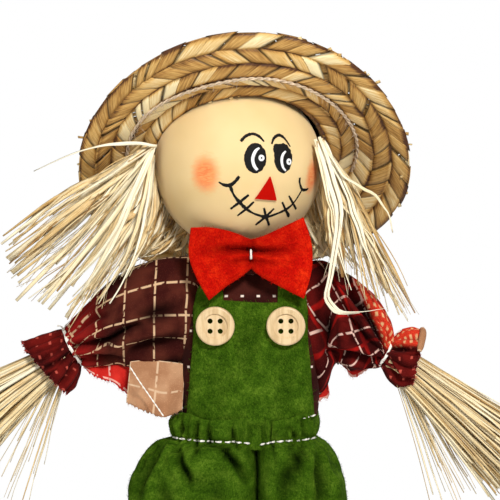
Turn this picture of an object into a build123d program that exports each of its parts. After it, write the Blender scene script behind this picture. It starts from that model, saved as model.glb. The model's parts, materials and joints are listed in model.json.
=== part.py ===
"""A stake-mounted scarecrow figure: a stuffed cloth body on a wooden dowel, with a foam head under a braided
straw hat, raffia hair, hands and feet, a checked shirt, felt overalls, wooden buttons and a felt bow tie.

Millimetres. +Z is up, the figure faces -Y, and its own left side is +X. The origin is the centre of the
stake's lower end.
"""

import os
from math import atan2, cos, degrees, pi, sin

from build123d import *

# ---- driving dimensions ----------------------------------------------------------------------------------
STAKE_R = 2.5  # wooden dowel
STAKE_TOP = 346.0  # the dowel ends inside the foam head
GROOVE_Z = 187.0  # a shallow turned groove under the crotch, which the body's tie thread sits in
GROOVE_H = 2.0
CUFF_Z = 114.0  # thread tie at the trouser cuffs
FOOT_Z = 72.0  # lower end of the raffia feet
HIP_Z = 190.0  # hip joints
SEAT_Z = 194.0  # lower edge of the trouser seat
WAIST_Z = 229.0  # seam between the trousers and their gathered waistband
WAISTBAND_TOP = 238.0
BIB_TOP = 283.0
STRAP_X, STRAP_W = 15.0, 11.5  # shoulder straps
NECK_Z = 298.0  # top of the shirt body
HEAD_R = 33.0  # outside of the head's fabric cover
HEAD_C = Vector(-4.9, 0, 335.7)
CLOTH = 0.8  # woven shirt cotton
FELT = 1.5
SKIN = 0.95  # head cover with its glue
THREAD_R = 0.5
FIT = 0.05  # radial clearance of the dowel in the head's bore
PIVOT_X = 27.0  # shoulder joints, either side of the stake
ARM_LOWERS = 10.0  # degrees that an arm hangs lower before its sleeve would press on the shirt
CLEAR = 0.5  # between a sleeve and the shirt, all the way
COLLAR_R, COLLAR_H, COLLAR_Z = 16.0, 3.4, 294.6
WAIST_W, WAIST_D, WAIST_R, WAIST_X = 60.0, 39.4, 15.0, -2.5  # the waistband's outline, and its middle
STITCH_L, STITCH_PITCH = 2.8, 5.2  # running stitches of the waistband

# torso outline: (z, half width, half depth, corner radius)
TORSO = [
    (WAIST_Z, 25.5, 16.5, 12.0),
    (243.0, 26.8, 17.5, 13.0),
    (260.0, 27.0, 18.0, 13.0),
    (274.0, 25.8, 17.5, 13.0),
    (284.0, 22.5, 16.0, 12.0),
    (292.0, 15.5, 13.0, 10.0),
    (NECK_Z, 8.6, 8.6, 8.5),
]
# trouser seat: (x, y, z, half width, half depth)
SEAT = [
    (-4.5, 0, SEAT_Z, 41.5, 18.5),
    (-6.0, 0, 201.0, 43.3, 20.5),
    (-6.8, 0, 212.0, 41.2, 20.5),
    (-4.5, 0, 222.0, 35.5, 19.0),
    (-2.0, 0, WAIST_Z, 29.0, 18.0),
]
# (shoulder pivot, wrist tie, tip of the raffia hand, half height and half depth of the hand's tip)
ARMS = {
    "right": (Vector(-PIVOT_X, 0, 282), Vector(-70.5, -1, 263), Vector(-118, -4, 231), 29, 14),
    "left": (Vector(PIVOT_X, 0, 281), Vector(53, -12, 263), Vector(104, -22, 221), 29, 14),
}
# the sleeve along the arm: (share of the arm, half height, half depth)
SLEEVE = [(0.10, 7.5, 7.5), (0.28, 17.5, 12.0), (0.55, 15.5, 12.0), (0.82, 11.0, 9.5), (0.965, 7.8, 7.6)]
SLEEVE_BOW = {"right": 4.5, "left": -1.5}  # how far its middle stands above the straight line
# each leg: (x of the hip, x of the cuff)
LEGS = {"right": (-22.5, -20.5), "left": (20.0, 18.5)}
HIP_R = 14.0  # the leg's rounded top, which turns in a hollow of the seat
HIP_GAP = 1.8  # a soft leg swings free of the seat
# the leg below the hip: (share of the way down to the cuff, radius across, radius front to back)
LEG = [(0.0, HIP_R, HIP_R), (0.3, 15.0, 17.0), (0.65, 13.0, 14.5), (0.9, 9.5, 9.5), (0.985, 7.8, 7.8)]
CORE_R = 5.0  # raffia bundle inside a limb
JOINT_GAP = 4.6  # from a tie to the first cloth of the hand or foot past it
RUFFLE = 12.0  # length of the gathered cuff past its tie

# hat: a brim of two braids and a crown, tipped back on the head
HAT_TILT = 42.0
HAT_ROLL = 6.0  # the figure's left side of the brim is the higher one
HAT_C = Vector(-3.7, 4.1, 339.5)
HAT_R = 34.4  # opening that the head sits in
SEAM_R = 45.6  # seam between the brim's two braids
BRIM_R = 64.0
STRAW = 1.8  # thickness of the braid
BRIM_LIFT = 7.0  # front of the brim's edge, towards the crown; the back droops as much
BRIM_DROOP = 4.0  # sides of the brim's edge, away from the crown

BUTTON_R, BUTTON_H, BUTTON_DISH, BUTTON_HOLE = 7.5, 3.0, 4.8, 1.0
BUTTON_X, BUTTON_Z = 13.6, 273.2
BUTTON_SPACING = 3.9  # between its four holes

FACE_YAW, FACE_ROLL = 22.5, 3.5  # the face looks to the figure's left, and leans


# ---- helpers -------------------------------------------------------------------------------------------
def loft_ellipses(sections, grow=0.0):
    """A soft solid through level ellipses, each (x, y, z, half width, half depth)."""
    faces = [Pos(x, y, z) * Ellipse(rx + grow, ry + grow) for x, y, z, rx, ry in sections]
    return loft(Sketch() + faces)


def loft_torso(grow=0.0):
    """The torso's outline, grown outwards."""
    faces = [
        Pos(0, 0, z) * RectangleRounded(2 * (rx + grow), 2 * (ry + grow), r + 0.98 * grow)
        for z, rx, ry, r in TORSO
    ]
    return loft(Sketch() + faces)


def across(start, direction):
    """A plane square to a limb, with its x axis as near to up as it can be."""
    d = direction.normalized()
    up = Vector(0, 0, 1) if abs(d.Z) < 0.9 else Vector(1, 0, 0)
    return Plane(origin=start, x_dir=up - d * up.dot(d), z_dir=d)


def loft_along(start, end, sections, bow=0.0):
    """A soft solid along a limb: sections are (distance, half height, half depth)."""
    way = end - start
    faces = []
    for s, a, b in sections:
        plane = across(start + way.normalized() * s, way)
        faces.append(plane * Pos(bow * sin(pi * s / way.length), 0) * Ellipse(a, b))
    return loft(Sketch() + faces)


def thread_ring(centre, direction, radius):
    """A turn of thread tied round a limb."""
    return across(centre, direction) * Torus(radius, THREAD_R)


def hat_frame():
    """The hat's own frame: z through the crown, x to the figure's left, and -y at the front of the brim."""
    return Pos(HAT_C) * Rot(0, -HAT_ROLL, 0) * Rot(-HAT_TILT, 0, 0)


def save(node, shape):
    """Writes one sub-part and remembers it for the overlap scripts."""
    export_step(shape, f"parts/{node}.step")
    PARTS[node] = shape


PARTS = {}


# ---- stake, torso and shirt ----------------------------------------------------------------------------
def make_stake():
    stake = Cylinder(STAKE_R, STAKE_TOP, align=(Align.CENTER, Align.CENTER, Align.MIN))
    groove = Pos(0, 0, GROOVE_Z) * Cylinder(STAKE_R + 1, GROOVE_H, align=(Align.CENTER, Align.CENTER, Align.MIN))
    groove -= Pos(0, 0, GROOVE_Z) * Cylinder(STAKE_R - 0.3, GROOVE_H, align=(Align.CENTER, Align.CENTER, Align.MIN))
    save("stake", stake - groove)
    save("stake_tie", Pos(0, 0, GROOVE_Z + GROOVE_H / 2) * Torus(STAKE_R + THREAD_R - 0.3, THREAD_R))


def dowel_hole():
    """What the stake takes out of the body that is pushed on it."""
    return Cylinder(STAKE_R, STAKE_TOP, align=(Align.CENTER, Align.CENTER, Align.MIN))


def make_torso():
    filling = loft_torso(-CLOTH)
    shirt = loft_torso() - filling
    save("torso_stuffing", filling - dowel_hole())
    save("shirt_body", shirt)
    collar = Cylinder(COLLAR_R, COLLAR_H) + Torus(COLLAR_R, COLLAR_H / 2)
    collar = Pos(0, 0, COLLAR_Z) * collar
    collar -= loft_torso(0.05)
    for sign in (-1, 1):
        collar -= loft_torso(0.3 + FELT) & strap_band(sign)
    save("shirt_collar", collar.solids().sort_by(SortBy.VOLUME)[-1])


def make_shirt_tail():
    """The hem of the shirt that hangs out under the right arm."""
    z = WAISTBAND_TOP
    outline = [(-24, z + 0.4), (-44, z + 0.8), (-47.5, z + 8), (-41, z + 16), (-24, z + 20)]
    tail = Pos(0, -4, 0) * extrude(Plane.XZ * Polygon(*outline, align=None), CLOTH)
    save("shirt_tail_right", (tail - loft_torso(0.02)).solids().sort_by(SortBy.VOLUME)[-1])


def strap_band(sign):
    """The upright slice of the body that a shoulder strap lies in."""
    return Pos(sign * STRAP_X, 0, 270) * Box(STRAP_W, 80, 63.4)


def make_overalls():
    outer, inner = loft_torso(0.2 + FELT), loft_torso(0.2)
    skin = outer - inner
    low, high, z0, z1 = 25.2, 20.5, WAISTBAND_TOP + 0.3, BIB_TOP
    panel = Plane.XZ * Polygon((-low, z0), (low, z0), (high, z1), (-high, z1), align=None)
    save("bib", (skin & extrude(panel, 40)).solids().sort_by(SortBy.VOLUME)[-1])
    for side, sign in (("right", -1), ("left", 1)):
        strap = skin & strap_band(sign)
        strap -= Pos(0, -30, (z1 + 200) / 2) * Box(90, 60, z1 + 0.3 - 200)
        save(f"strap_{side}", strap.solids().sort_by(SortBy.VOLUME)[-1])
    band = Pos(0, 0, WAIST_Z + 0.2) * extrude(waist_outline(), WAISTBAND_TOP - WAIST_Z - 0.2)
    band = fillet(band.edges().filter_by(GeomType.LINE, reverse=True).group_by(Axis.Z)[-1], 1.2)
    band -= loft_torso(0.05)
    save("waistband", band.solids().sort_by(SortBy.VOLUME)[-1])
    save("waist_stitching", make_waist_stitches())


def waist_outline():
    return Pos(WAIST_X, 0) * RectangleRounded(WAIST_W, WAIST_D, WAIST_R)


def make_waist_stitches():
    """A running stitch round the front of the waistband."""
    path = waist_outline().face().outer_wire()
    count = int(path.length / STITCH_PITCH)
    stitches = []
    for i in range(count):
        at, along = path.position_at((i + 0.5) / count), path.tangent_at((i + 0.5) / count)
        if at.Y < -8:
            turn = Rot(0, 0, degrees(atan2(along.Y, along.X)))
            out = Vector(along.Y, -along.X) * 0.3
            if out.dot(at) < 0:
                out = -out
            stitches.append(Pos(at.X + out.X, at.Y + out.Y, WAIST_Z + 2.6) * turn * Box(STITCH_L, 0.4, 0.7))
    return Compound(children=stitches)


def make_buttons():
    face_y = -(18.0 + 0.2 + FELT) - 0.05
    for side, sign in (("right", -1), ("left", 1)):
        place = Pos(sign * BUTTON_X, face_y, BUTTON_Z) * Rot(90, 0, 0)
        button = Cylinder(BUTTON_R, BUTTON_H, align=(Align.CENTER, Align.CENTER, Align.MIN))
        button = fillet(button.edges().group_by(Axis.Z)[-1], 0.9)
        button -= Pos(0, 0, BUTTON_H) * Cylinder(BUTTON_DISH, 1.4)
        for i in (-1, 1):
            for j in (-1, 1):
                button -= Pos(i * BUTTON_SPACING / 2, j * BUTTON_SPACING / 2) * Cylinder(BUTTON_HOLE, 9)
        save(f"button_{side}", place * button)


def make_bow():
    half, centre_h, side_h = 23.5, 5.2, 14.0

    def section(x, half_h, half_d, z, y):
        return Plane(origin=(x, y, z), x_dir=(0, 1, 0), z_dir=(1, 0, 0)) * Ellipse(half_d, half_h)

    wings = []
    for sign in (-1, 1):
        faces = [
            section(0, centre_h, 3.6, 300.8, -22.7),
            section(sign * 9, 9.0, 3.4, 299.8, -22.9),
            section(sign * half, side_h, 2.3, 297.5, -22.6),
        ]
        wings.append(loft(Sketch() + faces))
    save("bow_tie", wings[0] + wings[1])
    stitch = Pos(0, -26.7, 300.8) * Box(0.9, 0.8, 3.4)
    save("bow_stitch", stitch)


# ---- trousers and legs -----------------------------------------------------------------------------------
def leg_line(side):
    hip_x, cuff_x = LEGS[side]
    return Vector(hip_x, 0, HIP_Z), Vector(cuff_x, 0, CUFF_Z)


def make_seat():
    hollows = [Pos(hip) * Sphere(HIP_R + HIP_GAP) for hip, _ in (leg_line("right"), leg_line("left"))]
    outer = loft_ellipses(SEAT)
    filling = loft_ellipses(SEAT, -FELT)
    cloth = outer - filling
    for hollow in hollows:
        filling -= hollow
        cloth -= hollow
    save("hip_stuffing", (filling - dowel_hole()).solids().sort_by(SortBy.VOLUME)[-1])
    save("trouser_seat", cloth.solids().sort_by(SortBy.VOLUME)[-1])


def make_leg(side):
    hip, cuff = leg_line(side)
    way = cuff - hip
    sections = [(share * way.length, a, b) for share, a, b in LEG]
    core = loft_along(hip, cuff, [(2, CORE_R, CORE_R), (0.985 * way.length, CORE_R, CORE_R)])
    leg = loft_along(hip, cuff, sections) + Pos(hip) * Sphere(HIP_R)
    save(f"leg_core_{side}", core)
    save(f"trouser_leg_{side}", leg - core)
    save(f"ankle_tie_{side}", thread_ring(cuff, way, 7.2))
    tip = Vector(cuff.X * 1.05, 0, FOOT_Z)
    make_raffia_end(side, "foot", "trouser_cuff", cuff, tip, 14, 13)


def make_raffia_end(side, name, cuff_name, tie, tip, half_height, half_depth):
    """A raffia hand or foot that fans out past its tie, and the gathered cuff round its root."""
    length = (tip - tie).length
    sections = [(JOINT_GAP, 5.8, 5.8), (0.27 * length, 8.5, 8.0), (0.62 * length, 0.7 * half_height, 0.8 * half_depth)]
    end = loft_along(tie, tip, sections + [(length, half_height, half_depth)])
    cuff = loft_along(tie, tip, [(JOINT_GAP, 7.6, 7.6), (JOINT_GAP + RUFFLE, 12.5, 11.5)])
    save(f"{name}_{side}", end)
    save(f"{cuff_name}_{side}", (cuff - end).solids().sort_by(SortBy.VOLUME)[-1])


# ---- arms ------------------------------------------------------------------------------------------------
def lowered_torso(side, pivot):
    """What a sleeve stays clear of as its arm goes down: the torso, as the lowered arm meets it."""
    sign = 1 if side == "left" else -1
    space = loft_torso(CLEAR)
    for turn in (0.5, 1.0):
        space += Pos(pivot) * Rot(0, -sign * turn * ARM_LOWERS, 0) * Pos(-pivot) * loft_torso(CLEAR)
    return space


def make_arm(side):
    pivot, wrist, tip, half_height, half_depth = ARMS[side]
    way = wrist - pivot
    core = loft_along(pivot, wrist, [(0.12 * way.length, CORE_R, CORE_R), (0.965 * way.length, CORE_R, CORE_R)])
    stations = [(share * way.length, a, b) for share, a, b in SLEEVE]
    sleeve = loft_along(pivot, wrist, stations, SLEEVE_BOW[side]) - lowered_torso(side, pivot)
    save(f"arm_core_{side}", core)
    save(f"sleeve_{side}", sleeve - core)
    save(f"wrist_tie_{side}", thread_ring(wrist, way, 7.2))
    make_raffia_end(side, "hand", "sleeve_cuff", wrist, tip, half_height, half_depth)


# ---- head ------------------------------------------------------------------------------------------------
def make_head():
    bore = Cylinder(STAKE_R + FIT, STAKE_TOP + 0.5, align=(Align.CENTER, Align.CENTER, Align.MIN))
    ball = Pos(HEAD_C) * Sphere(HEAD_R - SKIN)
    neck = Pos(0, 0, 299.3) * Cylinder(8.0, 6.0, align=(Align.CENTER, Align.CENTER, Align.MIN))
    cover = Pos(HEAD_C) * Sphere(HEAD_R) + neck - ball
    save("head_ball", ball - bore)
    save("head_cover", cover - bore)
    save("neck_tie", Pos(0, 0, 301.0) * Torus(8.0 + THREAD_R, THREAD_R))
    save("nose", make_nose())
    save("glue_bead", make_glue())


def face_frame():
    """A frame at the head's centre whose -y looks along the face."""
    return Pos(HEAD_C) * Rot(0, 0, FACE_YAW) * Rot(0, FACE_ROLL, 0)


def make_nose():
    """A felt triangle glued on the curve of the face."""
    height, width, thick, drop = 8.8, 8.8, 0.9, 9.7
    outline = Plane.XZ * Polygon((-width / 2, 0), (width / 2, 0), (0, height), align=None)
    prism = face_frame() * Pos(0, 0, -drop - height / 2) * extrude(outline, 60)
    shell = Pos(HEAD_C) * Sphere(HEAD_R + thick) - Pos(HEAD_C) * Sphere(HEAD_R)
    return (shell & prism).solids().sort_by(SortBy.VOLUME)[-1]


def make_glue():
    """The hot-melt bead between the head and the hat's rim."""
    bead = hat_frame() * Pos(0, 0, 2.4) * Torus(HAT_R - 0.6, 1.7)
    bead -= Pos(HEAD_C) * Sphere(HEAD_R)
    inside = hat_frame() * Cylinder(HAT_R - 0.02, 40)
    return (bead & inside).solids().sort_by(SortBy.VOLUME)[-1]


# ---- hat -------------------------------------------------------------------------------------------------
def brim_edge(height):
    """The brim's wavy outer edge in the hat's frame, raised by height."""
    points = []
    for i in range(24):
        a = 2 * pi * i / 24
        wave = BRIM_LIFT * cos(a) - BRIM_DROOP * sin(a) ** 2
        points.append((BRIM_R * sin(a), -BRIM_R * cos(a), height + wave))
    return Edge.make_spline(points, periodic=True)


def make_brim_edge_braid():
    """A closed ring with a flat seam and a wavy edge, made from its two faces and its two rims."""
    rings = []
    for height in (0.0, STRAW):
        inner = Edge.make_circle(SEAM_R, Plane(origin=(0, 0, height), x_dir=(0, -1, 0), z_dir=(0, 0, 1)))
        rings.append((inner, brim_edge(height)))
    (inner_low, outer_low), (inner_high, outer_high) = rings
    faces = [
        Face.make_surface_from_curves(inner_low, outer_low),
        Face.make_surface_from_curves(inner_high, outer_high),
        Face.make_surface_from_curves(inner_low, inner_high),
        Face.make_surface_from_curves(outer_low, outer_high),
    ]
    return Solid(Shell(faces))


def make_hat():
    frame = hat_frame()
    save("hat_brim_edge", frame * make_brim_edge_braid())
    lip = Cylinder(SEAM_R - 0.05, STRAW, align=(Align.CENTER, Align.CENTER, Align.MIN))
    lip -= Cylinder(HAT_R, STRAW, align=(Align.CENTER, Align.CENTER, Align.MIN))
    save("hat_brim_inner", frame * lip)
    wall = [(HAT_R + 1.5, 12), (HAT_R - 0.5, 22), (HAT_R - 4.5, 29)]
    with BuildPart() as crown:
        with BuildSketch(Plane.XZ):
            with BuildLine():
                base = STRAW + 0.05
                outer = Spline((HAT_R + STRAW, base), *wall, (HAT_R - 13, 34.5), (0, 36.5))
                Line(outer @ 1, (0, 36.5 - STRAW))
                inner = Spline(
                    (0, 36.5 - STRAW), (HAT_R - 13.8, 34.5 - STRAW), (HAT_R - 6.0, 27.7), (HAT_R - 2.3, 21.3),
                    (HAT_R - 0.1, 12), (HAT_R, 6), (HAT_R, base),
                )
                Line(inner @ 1, outer @ 0)
            make_face()
        revolve(axis=Axis.Z)
    save("hat_crown", frame * crown.part)


# ---- hair ------------------------------------------------------------------------------------------------
def make_hair():
    """Raffia locks glued under the hat: a wide one on each side and a short one behind the neck."""
    right = [((-41.5, -7, 334), 6, 2.0), ((-58, -9, 324), 11, 4.5), ((-92, -12, 311), 8.5, 5)]
    left = [((31.0, -8, 326), 6, 2.2), ((38.5, -11, 314), 7, 4.5), ((49, -14, 299.5), 9, 4.5)]
    for side, stations in (("right", right), ("left", left)):
        start, tip = Vector(*stations[0][0]), Vector(*stations[-1][0])
        faces = [across(Vector(*at), tip - start) * Ellipse(a, b) for at, a, b in stations]
        save(f"hair_{side}", loft(Sketch() + faces))
    back = [(-3, 26.6, 313.5, 15, 1.8), (-2, 25.0, 304, 18, 3.6), (-1, 23.0, 290, 18, 3.0)]
    save("hair_back", loft_ellipses(back))


def main():
    os.makedirs("parts", exist_ok=True)
    make_stake()
    make_torso()
    make_shirt_tail()
    make_overalls()
    make_buttons()
    make_bow()
    make_seat()
    for side in ("right", "left"):
        make_leg(side)
        make_arm(side)
    make_head()
    make_hat()
    make_hair()
    print(len(PARTS), "parts")


main()
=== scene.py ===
import json
import math

import bpy
import numpy as np
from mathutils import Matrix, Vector
from mathutils.bvhtree import BVHTree


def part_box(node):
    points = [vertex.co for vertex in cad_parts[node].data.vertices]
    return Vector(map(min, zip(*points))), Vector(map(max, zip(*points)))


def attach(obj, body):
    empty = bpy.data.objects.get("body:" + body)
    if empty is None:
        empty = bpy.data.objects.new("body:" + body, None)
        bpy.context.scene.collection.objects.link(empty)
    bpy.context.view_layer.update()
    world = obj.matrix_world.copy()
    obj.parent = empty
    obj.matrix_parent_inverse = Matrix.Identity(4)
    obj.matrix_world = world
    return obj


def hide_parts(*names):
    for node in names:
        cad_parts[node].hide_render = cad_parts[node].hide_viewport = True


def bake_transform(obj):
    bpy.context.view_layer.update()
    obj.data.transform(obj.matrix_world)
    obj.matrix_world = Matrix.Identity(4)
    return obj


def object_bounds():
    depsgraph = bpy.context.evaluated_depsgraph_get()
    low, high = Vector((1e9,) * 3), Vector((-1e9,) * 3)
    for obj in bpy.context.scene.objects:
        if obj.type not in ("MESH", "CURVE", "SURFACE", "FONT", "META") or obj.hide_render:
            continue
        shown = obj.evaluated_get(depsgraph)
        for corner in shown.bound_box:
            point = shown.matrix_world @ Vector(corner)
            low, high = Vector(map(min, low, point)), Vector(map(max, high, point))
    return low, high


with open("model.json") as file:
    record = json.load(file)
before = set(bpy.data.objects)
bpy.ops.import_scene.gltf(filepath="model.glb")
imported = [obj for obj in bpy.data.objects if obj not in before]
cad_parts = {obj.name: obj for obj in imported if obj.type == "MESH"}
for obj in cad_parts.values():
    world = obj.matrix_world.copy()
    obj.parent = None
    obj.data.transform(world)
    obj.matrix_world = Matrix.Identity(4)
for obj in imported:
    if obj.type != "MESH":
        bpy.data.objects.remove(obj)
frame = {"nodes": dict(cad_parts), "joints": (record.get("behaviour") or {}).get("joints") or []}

cad_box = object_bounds()

# Lengths here are in millimetres, in the frame's own axes, until `mesh_piece` turns them into metres.
MM = 0.001
UV_MM = 10.0  # one unit of every UV map
nodes = frame["nodes"]
pi, tau = math.pi, 2 * math.pi


# ---- the frame's own sizes ----------------------------------------------------------------------------
def box_mm(node):
    """A CAD node's lowest and highest corner, in mm."""
    low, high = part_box(node)
    return np.array(low) / MM, np.array(high) / MM


def joint_at(name):
    """A joint's place, in mm."""
    return next(np.array(j["pos_m"]) / MM for j in frame["joints"] if j["name"] == name)


HEAD_C = np.mean(box_mm("head_ball"), axis=0)
HEAD_R = np.ptp(box_mm("head_cover"), axis=0)[0] / 2
NECK_Z, NECK_R = box_mm("head_cover")[0][2], 8.0
FACE_YAW, FACE_ROLL = math.radians(22.5), math.radians(3.5)
WAIST_Z, WAISTBAND_TOP = box_mm("waistband")[0][2], box_mm("waistband")[1][2]
BIB_TOP = box_mm("bib")[1][2]

# the hat's own frame: z through the crown, -y at the front of the brim
HAT_C, HAT_TILT, HAT_ROLL = np.array([-3.7, 4.1, 339.5]), math.radians(42), math.radians(6)
HAT_R, SEAM_R, BRIM_R = 34.4, 45.6, 64.0  # the brim's inner edge, its seam and its outer edge
CROWN_H, STRAW = 33.6, 1.8  # the crown's height, and the braid's thickness
BRIM_LIFT, BRIM_DROOP, BRIM_NOD = 4.0, 7.5, 3.8
BRIM_FLARE, FLARE_TURN, FLARE_SPREAD = 4.0, 2.1, 0.6  # how far, where and over what turn the brim is wider


# ---- small maths --------------------------------------------------------------------------------------
def unit(v):
    v = np.asarray(v, float)
    return v / np.maximum(np.linalg.norm(v, axis=-1, keepdims=True), 1e-9)


def turn_about(axis, angle):
    """Rotation matrix about x, y or z."""
    c, s = math.cos(angle), math.sin(angle)
    i, j = {"x": (1, 2), "y": (2, 0), "z": (0, 1)}[axis]
    m = np.eye(3)
    m[i, i], m[i, j], m[j, i], m[j, j] = c, -s, s, c
    return m


def dice(name):
    """Random numbers that depend only on the name of what they shape."""
    return np.random.default_rng(sum(ord(c) * (i + 1) for i, c in enumerate(name)))


def ripple(points, size, name, waves=9):
    """Smooth noise, about -1 to 1, with bumps of about `size`."""
    r = dice(name)
    k = unit(r.normal(size=(waves, np.shape(points)[-1]))) * (tau / size) * r.uniform(0.6, 1.4, (waves, 1))
    return np.sin(points @ k.T + r.uniform(0, tau, waves)).sum(-1) * (1.5 / waves)


def way_along(path):
    """How far each point of a path is from its start, along the path."""
    steps = np.linalg.norm(np.diff(path, axis=0), axis=1)
    return np.concatenate([[0], np.cumsum(steps)])


def smooth_path(points, count):
    """Catmull-Rom curve through a few points, each of any number of values."""
    p = np.asarray(points, float)
    p = np.vstack([2 * p[0] - p[1], p, 2 * p[-1] - p[-2]])
    t = np.linspace(0, len(p) - 3 - 1e-9, count)
    i = t.astype(int)
    f = (t - i)[:, None]
    a, b, c, d = p[i], p[i + 1], p[i + 2], p[i + 3]
    return 0.5 * (2 * b + (c - a) * f + (2 * a - 5 * b + 4 * c - d) * f**2 + (3 * b - a - 3 * c + d) * f**3)


def ease(x, low, high):
    """0 up to low, 1 from high on, and a smooth step between them."""
    t = np.clip((np.asarray(x, float) - low) / (high - low), 0, 1)
    return t * t * (3 - 2 * t)


# ---- pieces -------------------------------------------------------------------------------------------
def mesh_piece(name, co, faces, uv=None, tone=None, smooth=True):
    """A mesh from millimetre points. uv is a pair for each corner of each face, and tone is four numbers a
    point."""
    mesh = bpy.data.meshes.new(name)
    mesh.from_pydata((np.asarray(co, float) * MM).tolist(), [], [list(map(int, f)) for f in faces])
    if uv is not None:
        layer = mesh.uv_layers.new(name="UVMap")
        layer.data.foreach_set("uv", np.asarray(uv, np.float32).ravel())
    if tone is not None:
        paint = mesh.attributes.new("tone", "FLOAT_COLOR", "POINT")
        paint.data.foreach_set("color", np.asarray(tone, np.float32).ravel())
    mesh.polygons.foreach_set("use_smooth", [smooth] * len(mesh.polygons))
    mesh.update()
    piece = bpy.data.objects.new(name, mesh)
    bpy.context.scene.collection.objects.link(piece)
    return piece


def dress(piece, material, body, slot, *replaced):
    """Gives a piece its material and its body, and hides the CAD nodes that it stands for. slot is not used.
    A piece that reaches from one body to another has no body here, and `cross` gives it none."""
    piece.data.materials.append(materials[material])
    if body:
        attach(piece, body)
    if replaced:
        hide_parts(*replaced)


def soften(piece):
    """One level of subdivision."""
    sub = piece.modifiers.new("soft", "SUBSURF")
    sub.levels = sub.render_levels = 1


def face_out(piece):
    """Turns the faces of an open tube to look away from its middle."""
    mesh = piece.data
    centre = np.array([v.co for v in mesh.vertices]).mean(0)
    out = sum((np.array(p.center) - centre) @ np.array(p.normal) * p.area for p in mesh.polygons)
    if out < 0:
        mesh.flip_normals()


def grid_faces(rows, cols, wrap=False):
    """Quads of a rows x cols grid of points, and for each corner its row and unwrapped column."""
    r, c = np.meshgrid(np.arange(rows - 1), np.arange(cols if wrap else cols - 1), indexing="ij")
    r, c = r.ravel(), c.ravel()
    corner_r = np.stack([r, r, r + 1, r + 1], 1)
    corner_c = np.stack([c, c + 1, c + 1, c], 1)
    return corner_r * cols + corner_c % cols, corner_r, corner_c


def grid_piece(name, points, u, v, wrap=False, dark=None):
    """A sheet through a rows x cols grid of points. u and v are the cloth's own lengths in mm, with one more
    column than the points when the sheet is a tube. dark is how deep in a fold each point lies, from 0 to
    1."""
    rows, cols = points.shape[:2]
    faces, corner_r, corner_c = grid_faces(rows, cols, wrap)
    uv = np.stack([u[corner_r, corner_c], v[corner_r, corner_c]], -1) / UV_MM
    return mesh_piece(name, points.reshape(-1, 3), faces, uv, fold_shade_tone(dark))


def cloth(name, grid, thick, wrap=False, dark=None):
    """A cloth with its thickness, and its flat size in metres. A tube's thickness goes inwards."""
    u, v = lengths(grid, wrap)
    piece = grid_piece(name, grid, u, v, wrap, dark)
    if wrap:
        face_out(piece)
    shell = piece.modifiers.new("thickness", "SOLIDIFY")
    shell.thickness, shell.offset = thick * MM, -1.0 if wrap else 0.0
    shell.use_even_offset = False
    return piece, (u[0, -1] * MM, v[-1, 0] * MM)


def fold_shade_tone(dark):
    """The tone that a cloth's material darkens its folds by, as painted shade."""
    if dark is None:
        return None
    return np.clip(dark, 0, 1).reshape(-1, 1) * np.array([1.0, 1.0, 1.0, 1.0])


def lengths(points, wrap=False):
    """Lengths across and along a grid of points, for its cloth's UV map."""
    p = np.concatenate([points, points[:, :1]], 1) if wrap else points
    across = np.linalg.norm(np.diff(p, axis=1), axis=-1).mean(0)
    along = np.linalg.norm(np.diff(p, axis=0), axis=-1).mean(1)
    u = np.concatenate([[0], np.cumsum(across)])
    v = np.concatenate([[0], np.cumsum(along)])
    return np.meshgrid(u, v)


def slab_piece(name, outer, inner, u, v, dark):
    """A closed felt panel between two grids of points. u, v and dark are as in `grid_piece`."""
    rows, cols = outer.shape[:2]
    faces, corner_r, corner_c = grid_faces(rows, cols)
    n = rows * cols
    uv = np.stack([u[corner_r, corner_c], v[corner_r, corner_c]], -1) / UV_MM
    border = [(0, c) for c in range(cols)] + [(r, cols - 1) for r in range(1, rows)]
    border += [(rows - 1, c) for c in range(cols - 2, -1, -1)] + [(r, 0) for r in range(rows - 2, 0, -1)]
    rim, rim_uv = [], []
    for (r0, c0), (r1, c1) in zip(border, border[1:] + border[:1]):
        rim.append([r1 * cols + c1, r0 * cols + c0, n + r0 * cols + c0, n + r1 * cols + c1])
        a, b = np.array([u[r0, c0], v[r0, c0]]) / UV_MM, np.array([u[r1, c1], v[r1, c1]]) / UV_MM
        rim_uv.append([b, a, a + 0.1, b + 0.1])
    co = np.concatenate([outer.reshape(-1, 3), inner.reshape(-1, 3)])
    all_faces = np.concatenate([faces, faces[:, ::-1] + n, np.array(rim)])
    all_uv = np.concatenate([uv, uv[:, ::-1], np.array(rim_uv)])
    return mesh_piece(name, co, all_faces, all_uv, fold_shade_tone(np.concatenate([dark.ravel(), dark.ravel()])))


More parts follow.
